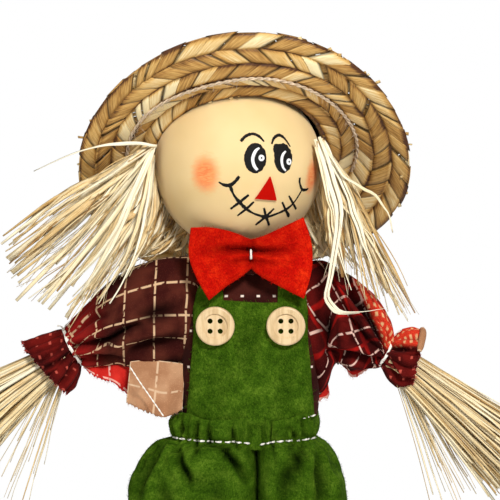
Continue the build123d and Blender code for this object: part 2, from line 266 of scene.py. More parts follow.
class Strips:
    """Many flat strips of straw, raffia or thread in one mesh. Each is a thin closed ribbon."""

    def __init__(self):
        self.co, self.faces, self.uv, self.tone, self.count = [], [], [], [], 0

    def add_sheet(self, top, bottom, tone, along, width, shift):
        """A ribbon from two rows x cols grids: its upper and its lower face."""
        rows, cols = top.shape[:2]
        ring = np.concatenate([top, bottom[:, ::-1]], 1)
        k = 2 * cols
        faces, corner_r, corner_c = grid_faces(rows, k, wrap=True)
        across = np.concatenate([np.linspace(0, 1, cols), np.linspace(1, 0, cols), [0]])
        u = (across[corner_c] * width + shift[0]) / UV_MM
        v = (along[corner_r] + shift[1]) / UV_MM
        caps, cap_uv = [], []
        for row, flip in ((0, False), (rows - 1, True)):
            for c in range(cols - 1):
                face = [row * k + c, row * k + k - 1 - c, row * k + k - 2 - c, row * k + c + 1]
                caps.append(face[::-1] if flip else face)
                cap_uv.append([[shift[0] / UV_MM, v[0, 0]]] * 4)
        data = np.zeros((rows, k, 4))
        data[..., 0] = tone[:, None]
        data[..., 1] = across[:k]
        data[..., 2] = np.linspace(0, 1, rows)[:, None]
        data[..., 3] = (shift[0] * 0.37) % 1
        self.co.append(ring.reshape(-1, 3))
        self.faces.append(np.concatenate([faces, np.array(caps)]) + self.count)
        self.uv.append(np.concatenate([np.stack([u, v], -1), np.array(cap_uv)]))
        self.tone.append(data.reshape(-1, 4))
        self.count += rows * k

    def add(self, path, side, half, thick=0.2, crown=0.1, tone=0.5, cols=3, shift=(0.0, 0.0)):
        """A ribbon along a path: side is the direction across it, half its half width."""
        path, rows = np.asarray(path, float), len(path)
        ahead = unit(np.gradient(path, axis=0))
        side = np.broadcast_to(np.asarray(side, float), (rows, 3))
        side = unit(side - ahead * (side * ahead).sum(1, keepdims=True))
        normal = np.cross(ahead, side)
        f = np.linspace(-1, 1, cols)
        half = np.broadcast_to(np.asarray(half, float), rows)
        flat = path[:, None] + side[:, None] * (half[:, None] * f)[..., None]
        rise = crown * (1 - f**2)
        body = thick / 2 * (1 - 0.7 * f**2)
        top = flat + normal[:, None] * (rise + body)[None, :, None]
        bottom = flat + normal[:, None] * (rise - body)[None, :, None]
        tone = np.broadcast_to(np.asarray(tone, float), rows)
        self.add_sheet(top, bottom, tone, way_along(path), 2 * half.mean(), shift)

    def piece(self, name):
        quads = np.concatenate(self.faces)
        uv = np.concatenate([x.reshape(-1, 4, 2) for x in self.uv])
        return mesh_piece(name, np.concatenate(self.co), quads, uv, np.concatenate(self.tone))


# ---- materials ----------------------------------------------------------------------------------------
class Material:
    """A Principled material and short calls for the nodes that feed it."""

    def __init__(self, name, **sockets):
        self.material = bpy.data.materials.new(name)
        self.material.use_nodes = True
        self.tree = self.material.node_tree
        self.shader = self.tree.nodes["Principled BSDF"]
        for key, value in sockets.items():
            self.put(self.shader.inputs[key.replace("_", " ")], value)

    def put(self, socket, value):
        if isinstance(value, bpy.types.NodeSocket):
            self.tree.links.new(value, socket)
        elif isinstance(value, (tuple, list)) and len(value) == 3 and socket.type == "RGBA":
            socket.default_value = (*value, 1)
        else:
            socket.default_value = value

    def node(self, kind, inputs=(), **props):
        made = self.tree.nodes.new("ShaderNode" + kind)
        for key, value in props.items():
            setattr(made, key, value)
        for key, value in dict(inputs).items():
            self.put(made.inputs[key], value)
        return made

    def place(self):
        """Position in the row frame, in metres, that moves with the piece."""
        return self.node("TexCoord").outputs["Object"]

    def uv(self):
        return self.node("UVMap", uv_map="UVMap").outputs["UV"]

    def scaled(self, vector, scale):
        scale = scale if isinstance(scale, tuple) else (scale, scale, scale)
        return self.node("Mapping", {"Vector": vector, "Scale": scale}).outputs["Vector"]

    def noise(self, vector, scale, detail, rough, distortion=0.0):
        """Noise with its own scale, or one for each axis."""
        inputs = {"Vector": self.scaled(vector, scale), "Scale": 1.0, "Detail": detail, "Roughness": rough,
                  "Distortion": distortion}
        return self.node("TexNoise", inputs).outputs["Fac"]

    def math(self, op, a, b=0.0, clamp=False):
        return self.node("Math", {0: a, 1: b}, operation=op, use_clamp=clamp).outputs[0]

    def vector(self, op, a, b):
        return self.node("VectorMath", {0: a, 1: tuple(b)}, operation=op).outputs

    def ramp(self, value, *stops):
        made = self.node("ValToRGB", {"Fac": value})
        marks = made.color_ramp.elements
        while len(marks) < len(stops):
            marks.new(0.5)
        for mark, (at, colour) in zip(marks, stops):
            mark.position = at
            mark.color = (*colour, 1) if len(colour) == 3 else colour
        return made.outputs["Color"]

    def mix(self, factor, a, b, blend="MIX"):
        made = self.node("Mix", {0: factor, 6: a, 7: b}, data_type="RGBA", blend_type=blend)
        return made.outputs[2]

    def sway(self, value, noise, gain, clamp=False):
        """The value, pushed up and down by a noise."""
        push = self.math("MULTIPLY", self.math("SUBTRACT", noise, 0.5), gain)
        return self.math("ADD", value, push, clamp)

    def sum(self, a, gain_a, b, gain_b):
        """a * gain_a + b * gain_b."""
        return self.math("ADD", self.math("MULTIPLY", a, gain_a), self.math("MULTIPLY", b, gain_b))

    def span(self, value, low, high, to_low=0.0, to_high=1.0):
        """to_low up to low, to_high from high on, and a smooth step between them."""
        inputs = {"Value": value, "From Min": low, "From Max": high, "To Min": to_low, "To Max": to_high}
        return self.node("MapRange", inputs, interpolation_type="SMOOTHSTEP").outputs["Result"]

    def split(self, vector):
        return self.node("SeparateXYZ", {"Vector": vector}).outputs

    def tone(self):
        """The strip's own tone, its place across and along, and a number of its own."""
        made = self.node("Attribute", attribute_name="tone", attribute_type="GEOMETRY")
        parts = self.node("SeparateColor", {"Color": made.outputs["Color"]}).outputs
        return parts[0], parts[1], parts[2], made.outputs["Alpha"]

    def shade_in_folds(self, colour, shade, most=0.85):
        """The colour with painted shade: darker where the cloth lies deep in a fold."""
        fold = self.tone()[0]
        return self.mix(self.math("MULTIPLY", fold, most, clamp=True), colour, shade)

    def bump(self, height, strength, distance, normal=None):
        inputs = {"Height": height, "Strength": strength, "Distance": distance * MM}
        if normal is not None:
            inputs["Normal"] = normal
        made = self.node("Bump", inputs)
        self.put(self.shader.inputs["Normal"], made.outputs["Normal"])
        return made.outputs["Normal"]

    def colour(self, value):
        self.put(self.shader.inputs["Base Color"], value)

    def set(self, key, value):
        self.put(self.shader.inputs[key], value)


def plant_fibre(name, stops, edge_shade, roughness):
    """Split straw or raffia: each strip has its own tone, fine streaks along it, and painted shade at its
    edges.
    """
    streaks = 1.15  # how strongly the streaks change the tone
    m = Material(name, Roughness=roughness, Specular_IOR_Level=0.35)
    tone, across, _, _ = m.tone()
    uv = m.uv()
    streak = m.noise(uv, (34.0, 1.2, 1.0), 4.0, 0.62)
    blotch = m.noise(uv, (3.0, 1.0, 1.0), 3.0, 0.6)
    value = m.sway(tone, streak, streaks)
    value = m.sway(value, blotch, 0.35, clamp=True)
    colour = m.ramp(value, *stops)
    # painted shade: each strip's colour is multiplied down towards its edges
    edge = m.math("ABSOLUTE", m.math("SUBTRACT", across, 0.5))
    shade = m.span(edge, 0.34, 0.5, 1.0, edge_shade)
    grey = m.node("CombineColor", {0: shade, 1: shade, 2: shade}).outputs[0]
    colour = m.mix(1.0, colour, grey, "MULTIPLY")
    m.colour(colour)
    m.set("Roughness", m.span(streak, 0.3, 0.7, roughness - 0.08, roughness + 0.12))
    m.bump(streak, 0.6, 0.25)
    return m.material


def felt(name, dark, mid, light, scale=1.0):
    """Needled felt: mottled fibres, soft sheen, painted shade in its folds, and a fuzzy surface."""
    m = Material(name, Roughness=0.95, Specular_IOR_Level=0.03, Sheen_Weight=0.035, Sheen_Roughness=0.5)
    m.set("Sheen Tint", (*light, 1))
    uv = m.uv()
    cloud = m.noise(uv, 1.6 * scale, 4.0, 0.6)
    fibre = m.noise(uv, 13.0 * scale, 5.0, 0.75, 0.8)
    hair = m.noise(uv, (42.0 * scale, 9.0 * scale, 1.0), 3.0, 0.7, 1.5)
    value = m.sway(m.sum(cloud, 0.5, fibre, 0.5), hair, 0.6)
    colour = m.ramp(value, (0.31, dark), (0.5, mid), (0.70, light))
    # painted shade: deep in a fold the felt turns towards a third of its dark colour
    m.colour(m.shade_in_folds(colour, tuple(0.35 * c for c in dark)))
    first = m.bump(fibre, 0.75, 0.6)
    m.bump(hair, 0.5, 0.3, first)
    return m.material


THREAD_PITCH = 0.42  # of the cotton's weave


def line_mask(m, value, pitch, width, soft=0.25):
    """1 on lines `width` wide, a pitch apart, along a coordinate in mm."""
    away = m.math("PINGPONG", value, pitch / 2)
    return m.span(away, width / 2 + soft / 2, width / 2 - soft / 2)


def plaid(name, ground, glow, line, pitch=(11.8, 11.2), second=None, dotted=False, shift=0.0, reddens=None,
          turned=0.0, ridge=None):
    """Printed cotton: a ground that drifts in tone, and a grid of broken lines in another colour.

    second is the colour of a second, wider grid, and dotted leaves only the crossings of the first. reddens
    is the way along the cloth over which its ground turns red, and turned is the print's slant. ridge is a
    line in the front plane, an (x, z) and the direction away from it, beyond which the cloth is red with pale
    spots."""
    m = Material(name, Roughness=0.9, Specular_IOR_Level=0.05, Sheen_Weight=0.01, Sheen_Roughness=0.5)
    parts = m.split(m.uv())
    x = m.math("ADD", m.math("MULTIPLY", parts[0], UV_MM), -shift)
    y = m.math("MULTIPLY", parts[1], UV_MM)
    if turned:
        c, s = math.cos(turned), math.sin(turned)
        x, y = m.sum(x, c, y, -s), m.sum(x, s, y, c)
    uv = m.uv()
    cloud = m.noise(uv, 0.75, 3.0, 0.5)
    speck = m.noise(uv, 26.0, 2.0, 0.6)
    colour = m.mix(m.span(cloud, 0.38, 0.66), ground, glow)
    pale = tuple(min(1.0, 2.0 * c + 0.02) for c in glow)
    colour = m.mix(m.span(speck, 0.56, 0.78, 0.0, 0.45), colour, pale)
    gap = m.noise(uv, 3.1, 2.0, 0.5)
    if reddens:
        red = m.mix(speck, (0.16, 0.004, 0.004), (0.34, 0.012, 0.010))
        colour = m.mix(m.span(y, *reddens), colour, red)
    if second:
        off = m.math("ADD", x, pitch[0] / 2)
        upright = line_mask(m, off, pitch[0], 1.7, 0.8)
        level = line_mask(m, y, pitch[1] * 1.3, 1.5, 0.8)
        mask = m.math("MAXIMUM", upright, level)
        colour = m.mix(m.math("MULTIPLY", mask, m.span(cloud, 0.35, 0.6, 0.25, 0.8)), colour, second)
    if dotted:
        mask = m.math("MULTIPLY", line_mask(m, x, pitch[0], 1.3), line_mask(m, y, pitch[1], 0.9))
    else:
        dash_x = m.span(m.math("PINGPONG", y, 2.6), 0.25, 0.6)
        dash_y = m.span(m.math("PINGPONG", x, 2.9), 0.25, 0.6)
        first = m.math("MULTIPLY", line_mask(m, x, pitch[0], 0.85), dash_x)
        other = m.math("MULTIPLY", line_mask(m, y, pitch[1], 0.75), dash_y)
        mask = m.math("MULTIPLY", m.math("MAXIMUM", first, other), m.span(gap, 0.34, 0.42))
    colour = m.mix(m.math("MULTIPLY", mask, 0.92), colour, line)
    if ridge:
        x0, z0, across, up = ridge
        place = m.split(m.place())
        from_x = m.math("SUBTRACT", place[0], x0 * MM)
        from_z = m.math("SUBTRACT", place[2], z0 * MM)
        far = m.sum(from_x, across / MM, from_z, up / MM)
        spots = m.math("MULTIPLY", line_mask(m, x, 3.2, 1.5, 0.6), line_mask(m, y, 2.6, 1.1, 0.5))
        red = m.mix(m.span(speck, 0.35, 0.7), (0.46, 0.020, 0.010), (0.70, 0.055, 0.022))
        red = m.mix(m.math("MULTIPLY", spots, m.span(gap, 0.38, 0.52)), red, (0.72, 0.42, 0.20))
        colour = m.mix(m.span(far, -0.8, 0.8), colour, red)
    # painted shade: deep in a fold the cotton turns towards a quarter of its ground colour
    m.colour(m.shade_in_folds(colour, tuple(0.25 * c for c in ground), 0.9))
    across, along = (m.math("SINE", m.math("MULTIPLY", c, tau / THREAD_PITCH)) for c in (x, y))
    weave = m.math("ADD", across, along)
    first = m.bump(weave, 0.22, 0.12)
    m.bump(speck, 0.25, 0.2, first)
    return m.material


STRAW_STOPS = [(0.02, (0.075, 0.022, 0.003)), (0.30, (0.42, 0.212, 0.048)), (0.58, (0.70, 0.438, 0.142)),
               (0.95, (0.93, 0.78, 0.46))]
# the dark shell under the crown: painted shade seen through the braid's gaps
STRAW_SHADE_STOPS = [(0.02, (0.09, 0.04, 0.012)), (0.5, (0.22, 0.12, 0.045)), (0.95, (0.36, 0.22, 0.10))]
RAFFIA_STOPS = [(0.02, (0.26, 0.12, 0.028)), (0.30, (0.62, 0.40, 0.15)), (0.58, (0.84, 0.67, 0.38)),
                (0.95, (0.95, 0.88, 0.68))]
CUFF_PRINT = dict(ground=(0.040, 0.0025, 0.0025), glow=(0.15, 0.007, 0.005), line=(0.50, 0.085, 0.06),
                  pitch=(5.2, 4.6), dotted=True, turned=0.3)


def make_materials():
    """Every material, by the short name that `dress` knows it by."""
    made = {}
    made["straw"] = plant_fibre("straw", STRAW_STOPS, edge_shade=0.22, roughness=0.50)
    made["straw_shade_backing"] = plant_fibre("painted_shade_straw", STRAW_SHADE_STOPS, edge_shade=0.8, roughness=0.7)
    made["raffia"] = plant_fibre("raffia", RAFFIA_STOPS, edge_shade=0.45, roughness=0.48)
    made["green"] = felt("green_felt", (0.009, 0.028, 0.001), (0.042, 0.102, 0.004), (0.135, 0.235, 0.018))
    made["red"] = felt("red_felt", (0.30, 0.002, 0.001), (0.60, 0.006, 0.002), (0.85, 0.040, 0.006), 1.15)
    made["dots"] = plaid("shirt_dots", (0.026, 0.005, 0.004), (0.060, 0.012, 0.008), (0.85, 0.72, 0.62),
                         (6.4, 14.0), dotted=True)
    made["wrong_side"] = plaid("plaid_wrong_side", (0.36, 0.17, 0.085), (0.52, 0.29, 0.16),
                               (0.66, 0.46, 0.30))
    made["face"] = face_material()
    made["thread"] = thread_material("white_thread", (0.80, 0.76, 0.66), (0.95, 0.93, 0.88))
    made["twine"] = thread_material("seam_twine", (0.42, 0.29, 0.17), (0.72, 0.58, 0.42))
    made["black_paint"] = paint_material("black_paint", (0.004, 0.004, 0.004), (0.020, 0.019, 0.018))
    made["white_paint"] = paint_material("white_paint", (0.80, 0.82, 0.84), (0.95, 0.95, 0.95))
    made["button"] = wood_material("button_wood", (0.53, 0.355, 0.17), (0.73, 0.545, 0.31), rings=3.0)
    made["stake"] = wood_material("stake_wood", (0.46, 0.30, 0.15), (0.66, 0.48, 0.28), rings=12.0)
    made["glue"] = glue_material()
    made["sleeve_right"] = plaid("plaid_sleeve_right", (0.034, 0.0045, 0.0035), (0.090, 0.019, 0.011),
                                 (0.66, 0.44, 0.26), (12.2, 12.4), shift=3.0, reddens=(42.0, 62.0))
    made["sleeve_left"] = plaid("plaid_sleeve_left", (0.032, 0.002, 0.002), (0.105, 0.005, 0.004),
                                (0.74, 0.48, 0.40), (13.5, 14.5), second=(0.42, 0.008, 0.006), turned=0.62,
                                ridge=(40.0, 291.6, 0.911, 0.4125))
    made["cuff_right"] = plaid("plaid_cuff", **CUFF_PRINT)
    made["cuff_left"] = plaid("plaid_cuff_left", **CUFF_PRINT, ridge=(58.0, 265.2, -0.1, 0.995))
    made["red_cloth"] = plaid("plaid_red_side", (0.42, 0.010, 0.008), (0.62, 0.030, 0.020),
                              (0.80, 0.45, 0.38))
    made["red_thread"] = thread_material("red_thread", (0.30, 0.010, 0.008), (0.62, 0.05, 0.04))
    made["pale_thread"] = thread_material("pale_thread", (0.45, 0.22, 0.14), (0.70, 0.50, 0.38))
    made["core"] = inner_material("core_raffia", (0.70, 0.52, 0.28))
    made["foam"] = inner_material("foam", (0.90, 0.88, 0.82))
    made["stuffing"] = inner_material("stuffing", (0.86, 0.85, 0.80))
    return made


def thread_material(name, dark, light):
    m = Material(name, Roughness=0.8, Sheen_Weight=0.2)
    ply = m.noise(m.uv(), (12.0, 6.0, 1.0), 3.0, 0.6)
    m.colour(m.ramp(ply, (0.3, dark), (0.65, light)))
    m.bump(ply, 0.5, 0.2)
    return m.material


def paint_material(name, dark, light):
    m = Material(name, Roughness=0.7, Specular_IOR_Level=0.15)
    grain = m.noise(m.place(), 2600.0, 3.0, 0.7)
    m.colour(m.ramp(grain, (0.45, dark), (0.75, light)))
    m.set("Roughness", m.span(grain, 0.3, 0.7, 0.60, 0.85))
    m.bump(grain, 0.3, 0.1)
    return m.material


def wood_material(name, dark, light, rings):
    m = Material(name, Roughness=0.42, Coat_Weight=0.15, Coat_Roughness=0.3)
    place = m.place()
    grain = m.noise(place, (160.0 * rings, 160.0 * rings, 40.0), 4.0, 0.6, 0.6)
    pore = m.noise(place, (2400.0, 2400.0, 300.0), 2.0, 0.6)
    colour = m.ramp(grain, (0.32, dark), (0.62, light))
    m.colour(m.mix(m.span(pore, 0.62, 0.75, 0.0, 0.5), colour, tuple(0.55 * c for c in dark)))
    m.set("Roughness", m.span(grain, 0.3, 0.7, 0.36, 0.55))
    m.bump(pore, 0.25, 0.08)
    return m.material


def glue_material():
    m = Material("glue", Roughness=0.12, Coat_Weight=0.6, Coat_Roughness=0.08, IOR=1.5)
    lump = m.noise(m.place(), 260.0, 3.0, 0.5)
    m.colour(m.ramp(lump, (0.35, (0.055, 0.018, 0.006)), (0.7, (0.22, 0.085, 0.026))))
    m.set("Roughness", m.span(lump, 0.35, 0.7, 0.08, 0.3))
    m.bump(lump, 0.7, 1.2)
    return m.material


def inner_material(name, colour):
    m = Material(name, Roughness=0.9)
    lump = m.noise(m.place(), 900.0, 4.0, 0.6)
    m.colour(m.ramp(lump, (0.3, tuple(0.8 * c for c in colour)), (0.7, colour)))
    m.bump(lump, 0.4, 0.4)
    return m.material


# ---- the face's own frame -----------------------------------------------------------------------------
# the face's middle lies on the -y axis of its own frame
FACE = turn_about("z", FACE_YAW) @ turn_about("y", FACE_ROLL)


def on_face(a, b, out=0.0):
    """A point of the head, a mm to the figure's left and b mm up along the ball from the face's middle."""
    lon, lat = np.asarray(a, float) / HEAD_R, np.asarray(b, float) / HEAD_R
    d = np.stack([np.sin(lon) * np.cos(lat), -np.cos(lon) * np.cos(lat), np.sin(lat)], -1)
    return HEAD_C + (HEAD_R + np.asarray(out, float)[..., None]) * (d @ FACE.T)


# across, up, and half the width and height of each cheek's paint
CHEEKS = ((-25.6, -5.7, 5.6, 7.2), (23.0, -3.4, 4.6, 6.6))


def face_material():
    """Fine stretched cloth, with a brushed orange cheek on each side."""
    m = Material("face_cloth", Roughness=0.62, Specular_IOR_Level=0.25, Sheen_Weight=0.15,
                 Sheen_Roughness=0.4)
    m.set("Subsurface Weight", 0.12)
    m.set("Subsurface Radius", (0.8, 0.45, 0.2))
    m.set("Subsurface Scale", 1.5 * MM)
    place = m.place()
    cloud = m.noise(place, 45.0, 2.0, 0.5)
    colour = m.ramp(cloud, (0.3, (0.74, 0.535, 0.255)), (0.7, (0.83, 0.62, 0.325)))
    brush = m.noise(place, (240.0, 240.0, 900.0), 4.0, 0.7, 1.2)
    for a, b, wide, high in CHEEKS:
        centre = on_face(a, b)
        x_dir = unit(on_face(a + 1, b) - on_face(a - 1, b))
        z_dir = unit(on_face(a, b + 1) - on_face(a, b - 1))
        away = m.vector("SUBTRACT", place, centre * MM)[0]
        u = m.vector("DOT_PRODUCT", away, x_dir / (wide * MM))["Value"]
        v = m.vector("DOT_PRODUCT", away, z_dir / (high * MM))["Value"]
        far = m.math("SQRT", m.sum(u, u, v, v))
        far = m.sway(far, brush, 0.9)
        mask = m.span(far, 1.30, 0.45, 0.0, 0.90)
        deep = m.span(brush, 0.40, 0.62)
        colour = m.mix(mask, colour, m.mix(deep, (0.86, 0.32, 0.10), (0.84, 0.17, 0.035)))
    m.colour(colour)
    fine = m.noise(place, 3200.0, 2.0, 0.5)
    m.bump(fine, 0.16, 0.12)
    return m.material


materials = make_materials()


# ---- camera, light and floor --------------------------------------------------------------------------
FIELD, LENS, SENSOR = 195.0, 150.0, 36.0  # the width that the frame shows at AIM, the lens and the sensor
AIM = np.array([-0.2, -10.0, 302.5])


def make_stage():
    """The camera, three soft lamps, a white room and a pale floor."""
    camera_data = bpy.data.cameras.new("camera")
    camera_data.lens, camera_data.sensor_width = LENS, SENSOR
    camera_data.clip_start, camera_data.clip_end = 0.05, 20
    camera = bpy.data.objects.new("camera", camera_data)
    away = FIELD * LENS / SENSOR
    camera.location = (AIM - [0, away, 0]) * MM
    camera.rotation_euler = (pi / 2, 0, 0)
    bpy.context.scene.collection.objects.link(camera)
    bpy.context.scene.camera = camera
    bpy.context.scene.view_settings.view_transform = "Standard"  # plain colours, with no film look

    def lamp(name, place, aim, size, power, colour):
        data = bpy.data.lights.new(name, "AREA")
        data.shape, data.size, data.energy, data.color = "DISK", size, power, colour
        light = bpy.data.objects.new(name, data)
        light.location = place
        light.rotation_euler = (Vector(aim) - Vector(place)).to_track_quat("-Z", "Y").to_euler()
        bpy.context.scene.collection.objects.link(light)

    chest = (0, 0, 0.30)  # the lamps' places and sizes are in metres
    lamp("key", (0.26, -0.85, 0.82), chest, 0.22, 10.5, (1.0, 0.985, 0.95))
    lamp("fill", (-0.8, -0.8, 0.40), chest, 0.5, 2.6, (1.0, 0.98, 0.95))
    lamp("back", (0.5, 0.9, 0.8), chest, 0.6, 6, (1.0, 0.98, 0.95))

    world = bpy.data.worlds.new("studio")
    bpy.context.scene.world = world
    world.use_nodes = True
    tree = world.node_tree
    room = tree.nodes["Background"]  # what lights the figure
    room.inputs["Color"].default_value = (1, 1, 1, 1)
    room.inputs["Strength"].default_value = 0.22
    backdrop = tree.nodes.new("ShaderNodeBackground")  # what is seen behind it
    backdrop.inputs["Color"].default_value = (1, 1, 1, 1)
    backdrop.inputs["Strength"].default_value = 1.0
    seen = tree.nodes.new("ShaderNodeLightPath")
    choose = tree.nodes.new("ShaderNodeMixShader")
    tree.links.new(seen.outputs["Is Camera Ray"], choose.inputs[0])
    tree.links.new(room.outputs[0], choose.inputs[1])
    tree.links.new(backdrop.outputs[0], choose.inputs[2])
    tree.links.new(choose.outputs[0], tree.nodes["World Output"].inputs["Surface"])

    floor_r, sides = 1100.0, 96
    turns = [tau * i / sides for i in range(sides)]
    ring = [(floor_r * math.cos(turn), floor_r * math.sin(turn), 0) for turn in turns]
    floor = mesh_piece("floor", ring, [list(range(sides))], smooth=False)
    floor.location.z = cad_box[0][2] - 0.0005
    m = Material("floor", Roughness=0.7)
    grain = m.noise(m.place(), 60.0, 3.0, 0.5)
    m.colour(m.ramp(grain, (0.3, (0.80, 0.80, 0.79)), (0.7, (0.84, 0.84, 0.83))))
    floor.data.materials.append(m.material)


make_stage()


# ---- hat ----------------------------------------------------------------------------------------------
HAT = turn_about("y", -HAT_ROLL) @ turn_about("x", -HAT_TILT)


def from_hat(p):
    """From the hat's own frame to the row frame."""
    return HAT_C + np.asarray(p) @ HAT.T


def wrapped(turn):
    """The same turn between minus and plus half a circle, counted from the front."""
    return (np.asarray(turn) + pi) % tau - pi


def brim_wave(turn):
    """How far the brim's outer edge is lifted at the front, and lowered at the back and at the sides."""
    return BRIM_LIFT * np.cos(turn) - BRIM_DROOP * np.sin(turn) ** 2 * (1 - 0.35 * np.cos(turn))


def brim_nod(turn):
    """How far the whole front of the brim hangs down."""
    return -BRIM_NOD * np.exp(-(wrapped(turn) ** 2))


def brim_outer(turn, v):
    """The brim's outer braid, at v from its inner edge to its outer one, in the hat's own frame."""
    flare = BRIM_FLARE * np.exp(-(((wrapped(turn) - FLARE_TURN) / FLARE_SPREAD) ** 2))
    r = SEAM_R + 0.2 + v * (BRIM_R - SEAM_R - 0.2 + flare)
    lift = brim_wave(turn) * v + 0.7 * np.sin(3 * turn + 1.0) * v**2 - 1.2 * (v - v**2)
    lift = lift + brim_nod(turn)
    return np.stack([r * np.sin(turn), -r * np.cos(turn), STRAW / 2 + lift], -1)


def brim_inner(turn, v):
    """The brim's inner braid, as `brim_outer`."""
    r = HAT_R + 0.2 + v * (SEAM_R - HAT_R - 0.3)
    lift = 0.9 * np.sin(pi * v) + brim_nod(turn) * (0.55 + 0.45 * v)
    return np.stack([r * np.sin(turn), -r * np.cos(turn), STRAW / 2 + lift], -1)


def crown(low, high):
    """A band of the crown between two shares of its quarter turn."""
    def surface(turn, v):
        t = np.clip(low + v * (high - low), 0, 1) * pi / 2
        r = (HAT_R + 0.7) * np.cos(t) ** 0.62
        z = STRAW + 0.4 + CROWN_H * np.sin(t) ** 0.85
        return np.stack([r * np.sin(turn), -r * np.cos(turn), z * np.ones_like(turn)], -1)
    return surface


STRIP_SLOPE, STRIP_HALF = 0.90, 0.565  # how far a strip moves in each row, and its half width, in pitches
STRIP_THICK, STRIP_RISE = 0.26, 0.34  # its thickness, and how far its middle stands above its edges
STRIP_STEPS = 7  # its points in each row
SPLIT_SHARE, BRIGHT_SHARE = 0.12, 0.27  # of the strips: split along their length, much paler in a row


def on_band(surface, turn, v, up, body):
    """The upper and the lower face of a strip that lies over a band: its middle is `up` above the band, and
    its faces are `body` above and below that."""
    p = surface(turn, v)
    du = surface(turn + 1e-3, v) - surface(turn - 1e-3, v)
    dv = surface(turn, v + 1e-3) - surface(turn, v - 1e-3)
    normal = unit(np.cross(du, dv))
    return [from_hat(p + normal * height[..., None]) for height in (up + body, up - body)]


def plait(strips, name, surface, count, rows, lift, pale=0.0):
    """Two families of flat strips that cross a band both ways and pass over and under each other, so that
    each row shows the strips of one family and the next row those of the other: a herringbone."""
    r = dice(name)
    for family in (1, -1):
        for i in range(count):
            # the way across the band, in rows
            rise = np.linspace(-0.04, rows + r.uniform(-0.03, 0.13), rows * STRIP_STEPS + 1)
            weave = np.sin(pi * np.clip(rise, 0, rows))
            tone = 0.45 + pale + 0.16 * r.normal(size=rows + 1) + 0.07 * r.normal()
            tone += np.where(r.random(rows + 1) < BRIGHT_SHARE, 0.34, 0.0)
            tone = np.maximum(tone, 0.36)
            row = np.clip(rise, 0, rows - 1e-6).astype(int)
            # painted shade: the strip's tone drops where it goes under its neighbours
            shade = tone[row] - 0.50 * (1 - np.abs(weave)) ** 2.4  # dark where it goes under its neighbours
            cuts = [(-1.0, 1.0)]
            if r.random() < SPLIT_SHARE:
                cut = r.uniform(-0.4, 0.4)
                cuts = [(-1.0, cut - 0.06), (cut + 0.06, 1.0)]
            lean = r.normal() * 0.11
            for low, high in cuts:
                f = np.linspace(low, high, 5 if high - low > 1 else 3)
                local = np.linspace(-1, 1, len(f))
                shift = i + family * STRIP_SLOPE * rise + (0.5 if family < 0 else 0) + lean
                wide = STRIP_HALF * (1 + 0.08 * np.sin(2.1 * rise + 5 * lean * i))
                turn = (shift[:, None] + f[None] * wide[:, None]) / count * tau
                v = np.broadcast_to((rise / rows)[:, None], turn.shape)
                over = family * np.tanh(2.6 * weave) * lift + 0.10 * r.normal()
                up = over[:, None] + STRIP_RISE * (1 - local**2)[None]
                body = STRIP_THICK / 2 * (1 - 0.6 * local**2)[None]
                top, bottom = on_band(surface, turn, v, up, body)
                along = way_along(top[:, len(f) // 2])
                strips.add_sheet(top, bottom, shade, along, 5.0 * (high - low) / 2, r.uniform(0, 400, 2))


def stray_straw(strips, name, surface, count, reach, inner=False):
    """Short ends of straw that stick out of a braid's edge."""
    r = dice(name)
    for _ in range(count):
        turn = r.uniform(0, tau)
        v = r.uniform(0.0, 0.08) if inner else r.uniform(0.9, 1.0)
        start = surface(np.array([turn]), np.array([v]))[0]
        out = unit(start * [1, 1, 0]) * (-0.4 if inner else 1.0)
        way = unit(out + 0.8 * r.normal(size=3) * [1, 1, 0.35])
        path = from_hat(start + way * np.linspace(-1.5, reach * r.uniform(0.3, 1), 4)[:, None])
        side = np.cross(way, [0, 0, 1]) @ HAT.T
        strips.add(path, side, r.uniform(0.25, 0.9), tone=r.uniform(0.4, 0.95), shift=r.uniform(0, 400, 2))


def make_hat():
    """The plaited brim and crown, a dark painted-shade shell under the crown, and the twine in the brim's
    seam.
    """
    edge = Strips()
    plait(edge, "edge", brim_outer, 42, 3, lift=0.75)
    stray_straw(edge, "edge ends", brim_outer, 26, 4.0)
    dress(edge.piece("brim_edge_braid"), "straw", "head", "straw", "hat_brim_edge")
    inner = Strips()
    # painted shade: the inner braid's strips are a little darker, as in the shadow of the crown
    plait(inner, "inner", brim_inner, 35, 2, lift=0.6, pale=-0.02)
    stray_straw(inner, "inner ends", brim_inner, 18, 3.0, inner=True)
    dress(inner.piece("brim_inner_braid"), "straw", "head", "straw", "hat_brim_inner")
    top = Strips()
    for k, (low, high, count) in enumerate(((0.0, 0.30, 38), (0.31, 0.62, 31), (0.63, 0.95, 17))):
        plait(top, f"crown {k}", crown(low, high), count, 3, lift=0.4)
    plait(top, "crown top", crown(0.90, 0.999), 7, 1, lift=0.3)
    dress(top.piece("crown_braid"), "straw", "head", "straw", "hat_crown")
    # painted shade: a dark shell under the crown's braid
    dress(crown_shade_shell(), "straw_shade_backing", "head", "straw")
    make_twine()


def crown_shade_shell():
    """A closed thin dark shell under the crown, which the braid lies on: painted shade in the braid's gaps.
    """
    rows, cols, inward, thick = 30, 72, 1.0, 0.25
    turn, v = np.meshgrid(np.linspace(0, tau, cols, endpoint=False), np.linspace(0, 1, rows))
    p = crown(0.0, 0.999)(turn, v)
    normal = unit(p + 1e-6)
    n = rows * cols
    sides = [from_hat(p - normal * depth).reshape(-1, 3) for depth in (inward, inward + thick)]
    faces = grid_faces(rows, cols, wrap=True)[0]
    rim = [[c, (c + 1) % cols, n + (c + 1) % cols, n + c] for c in range(cols)]
    cap = [n - cols + c for c in range(cols)]
    quads = [list(f) for f in faces[:, ::-1]] + [list(f + n) for f in faces] + rim
    quads += [cap[::-1], [n + x for x in cap]]
    corners = np.concatenate(quads) % n
    uv = np.stack([corners % cols * 3.0, corners // cols * 2.0], -1) / UV_MM
    return mesh_piece("crown_shade_shell", np.concatenate(sides), quads, uv)


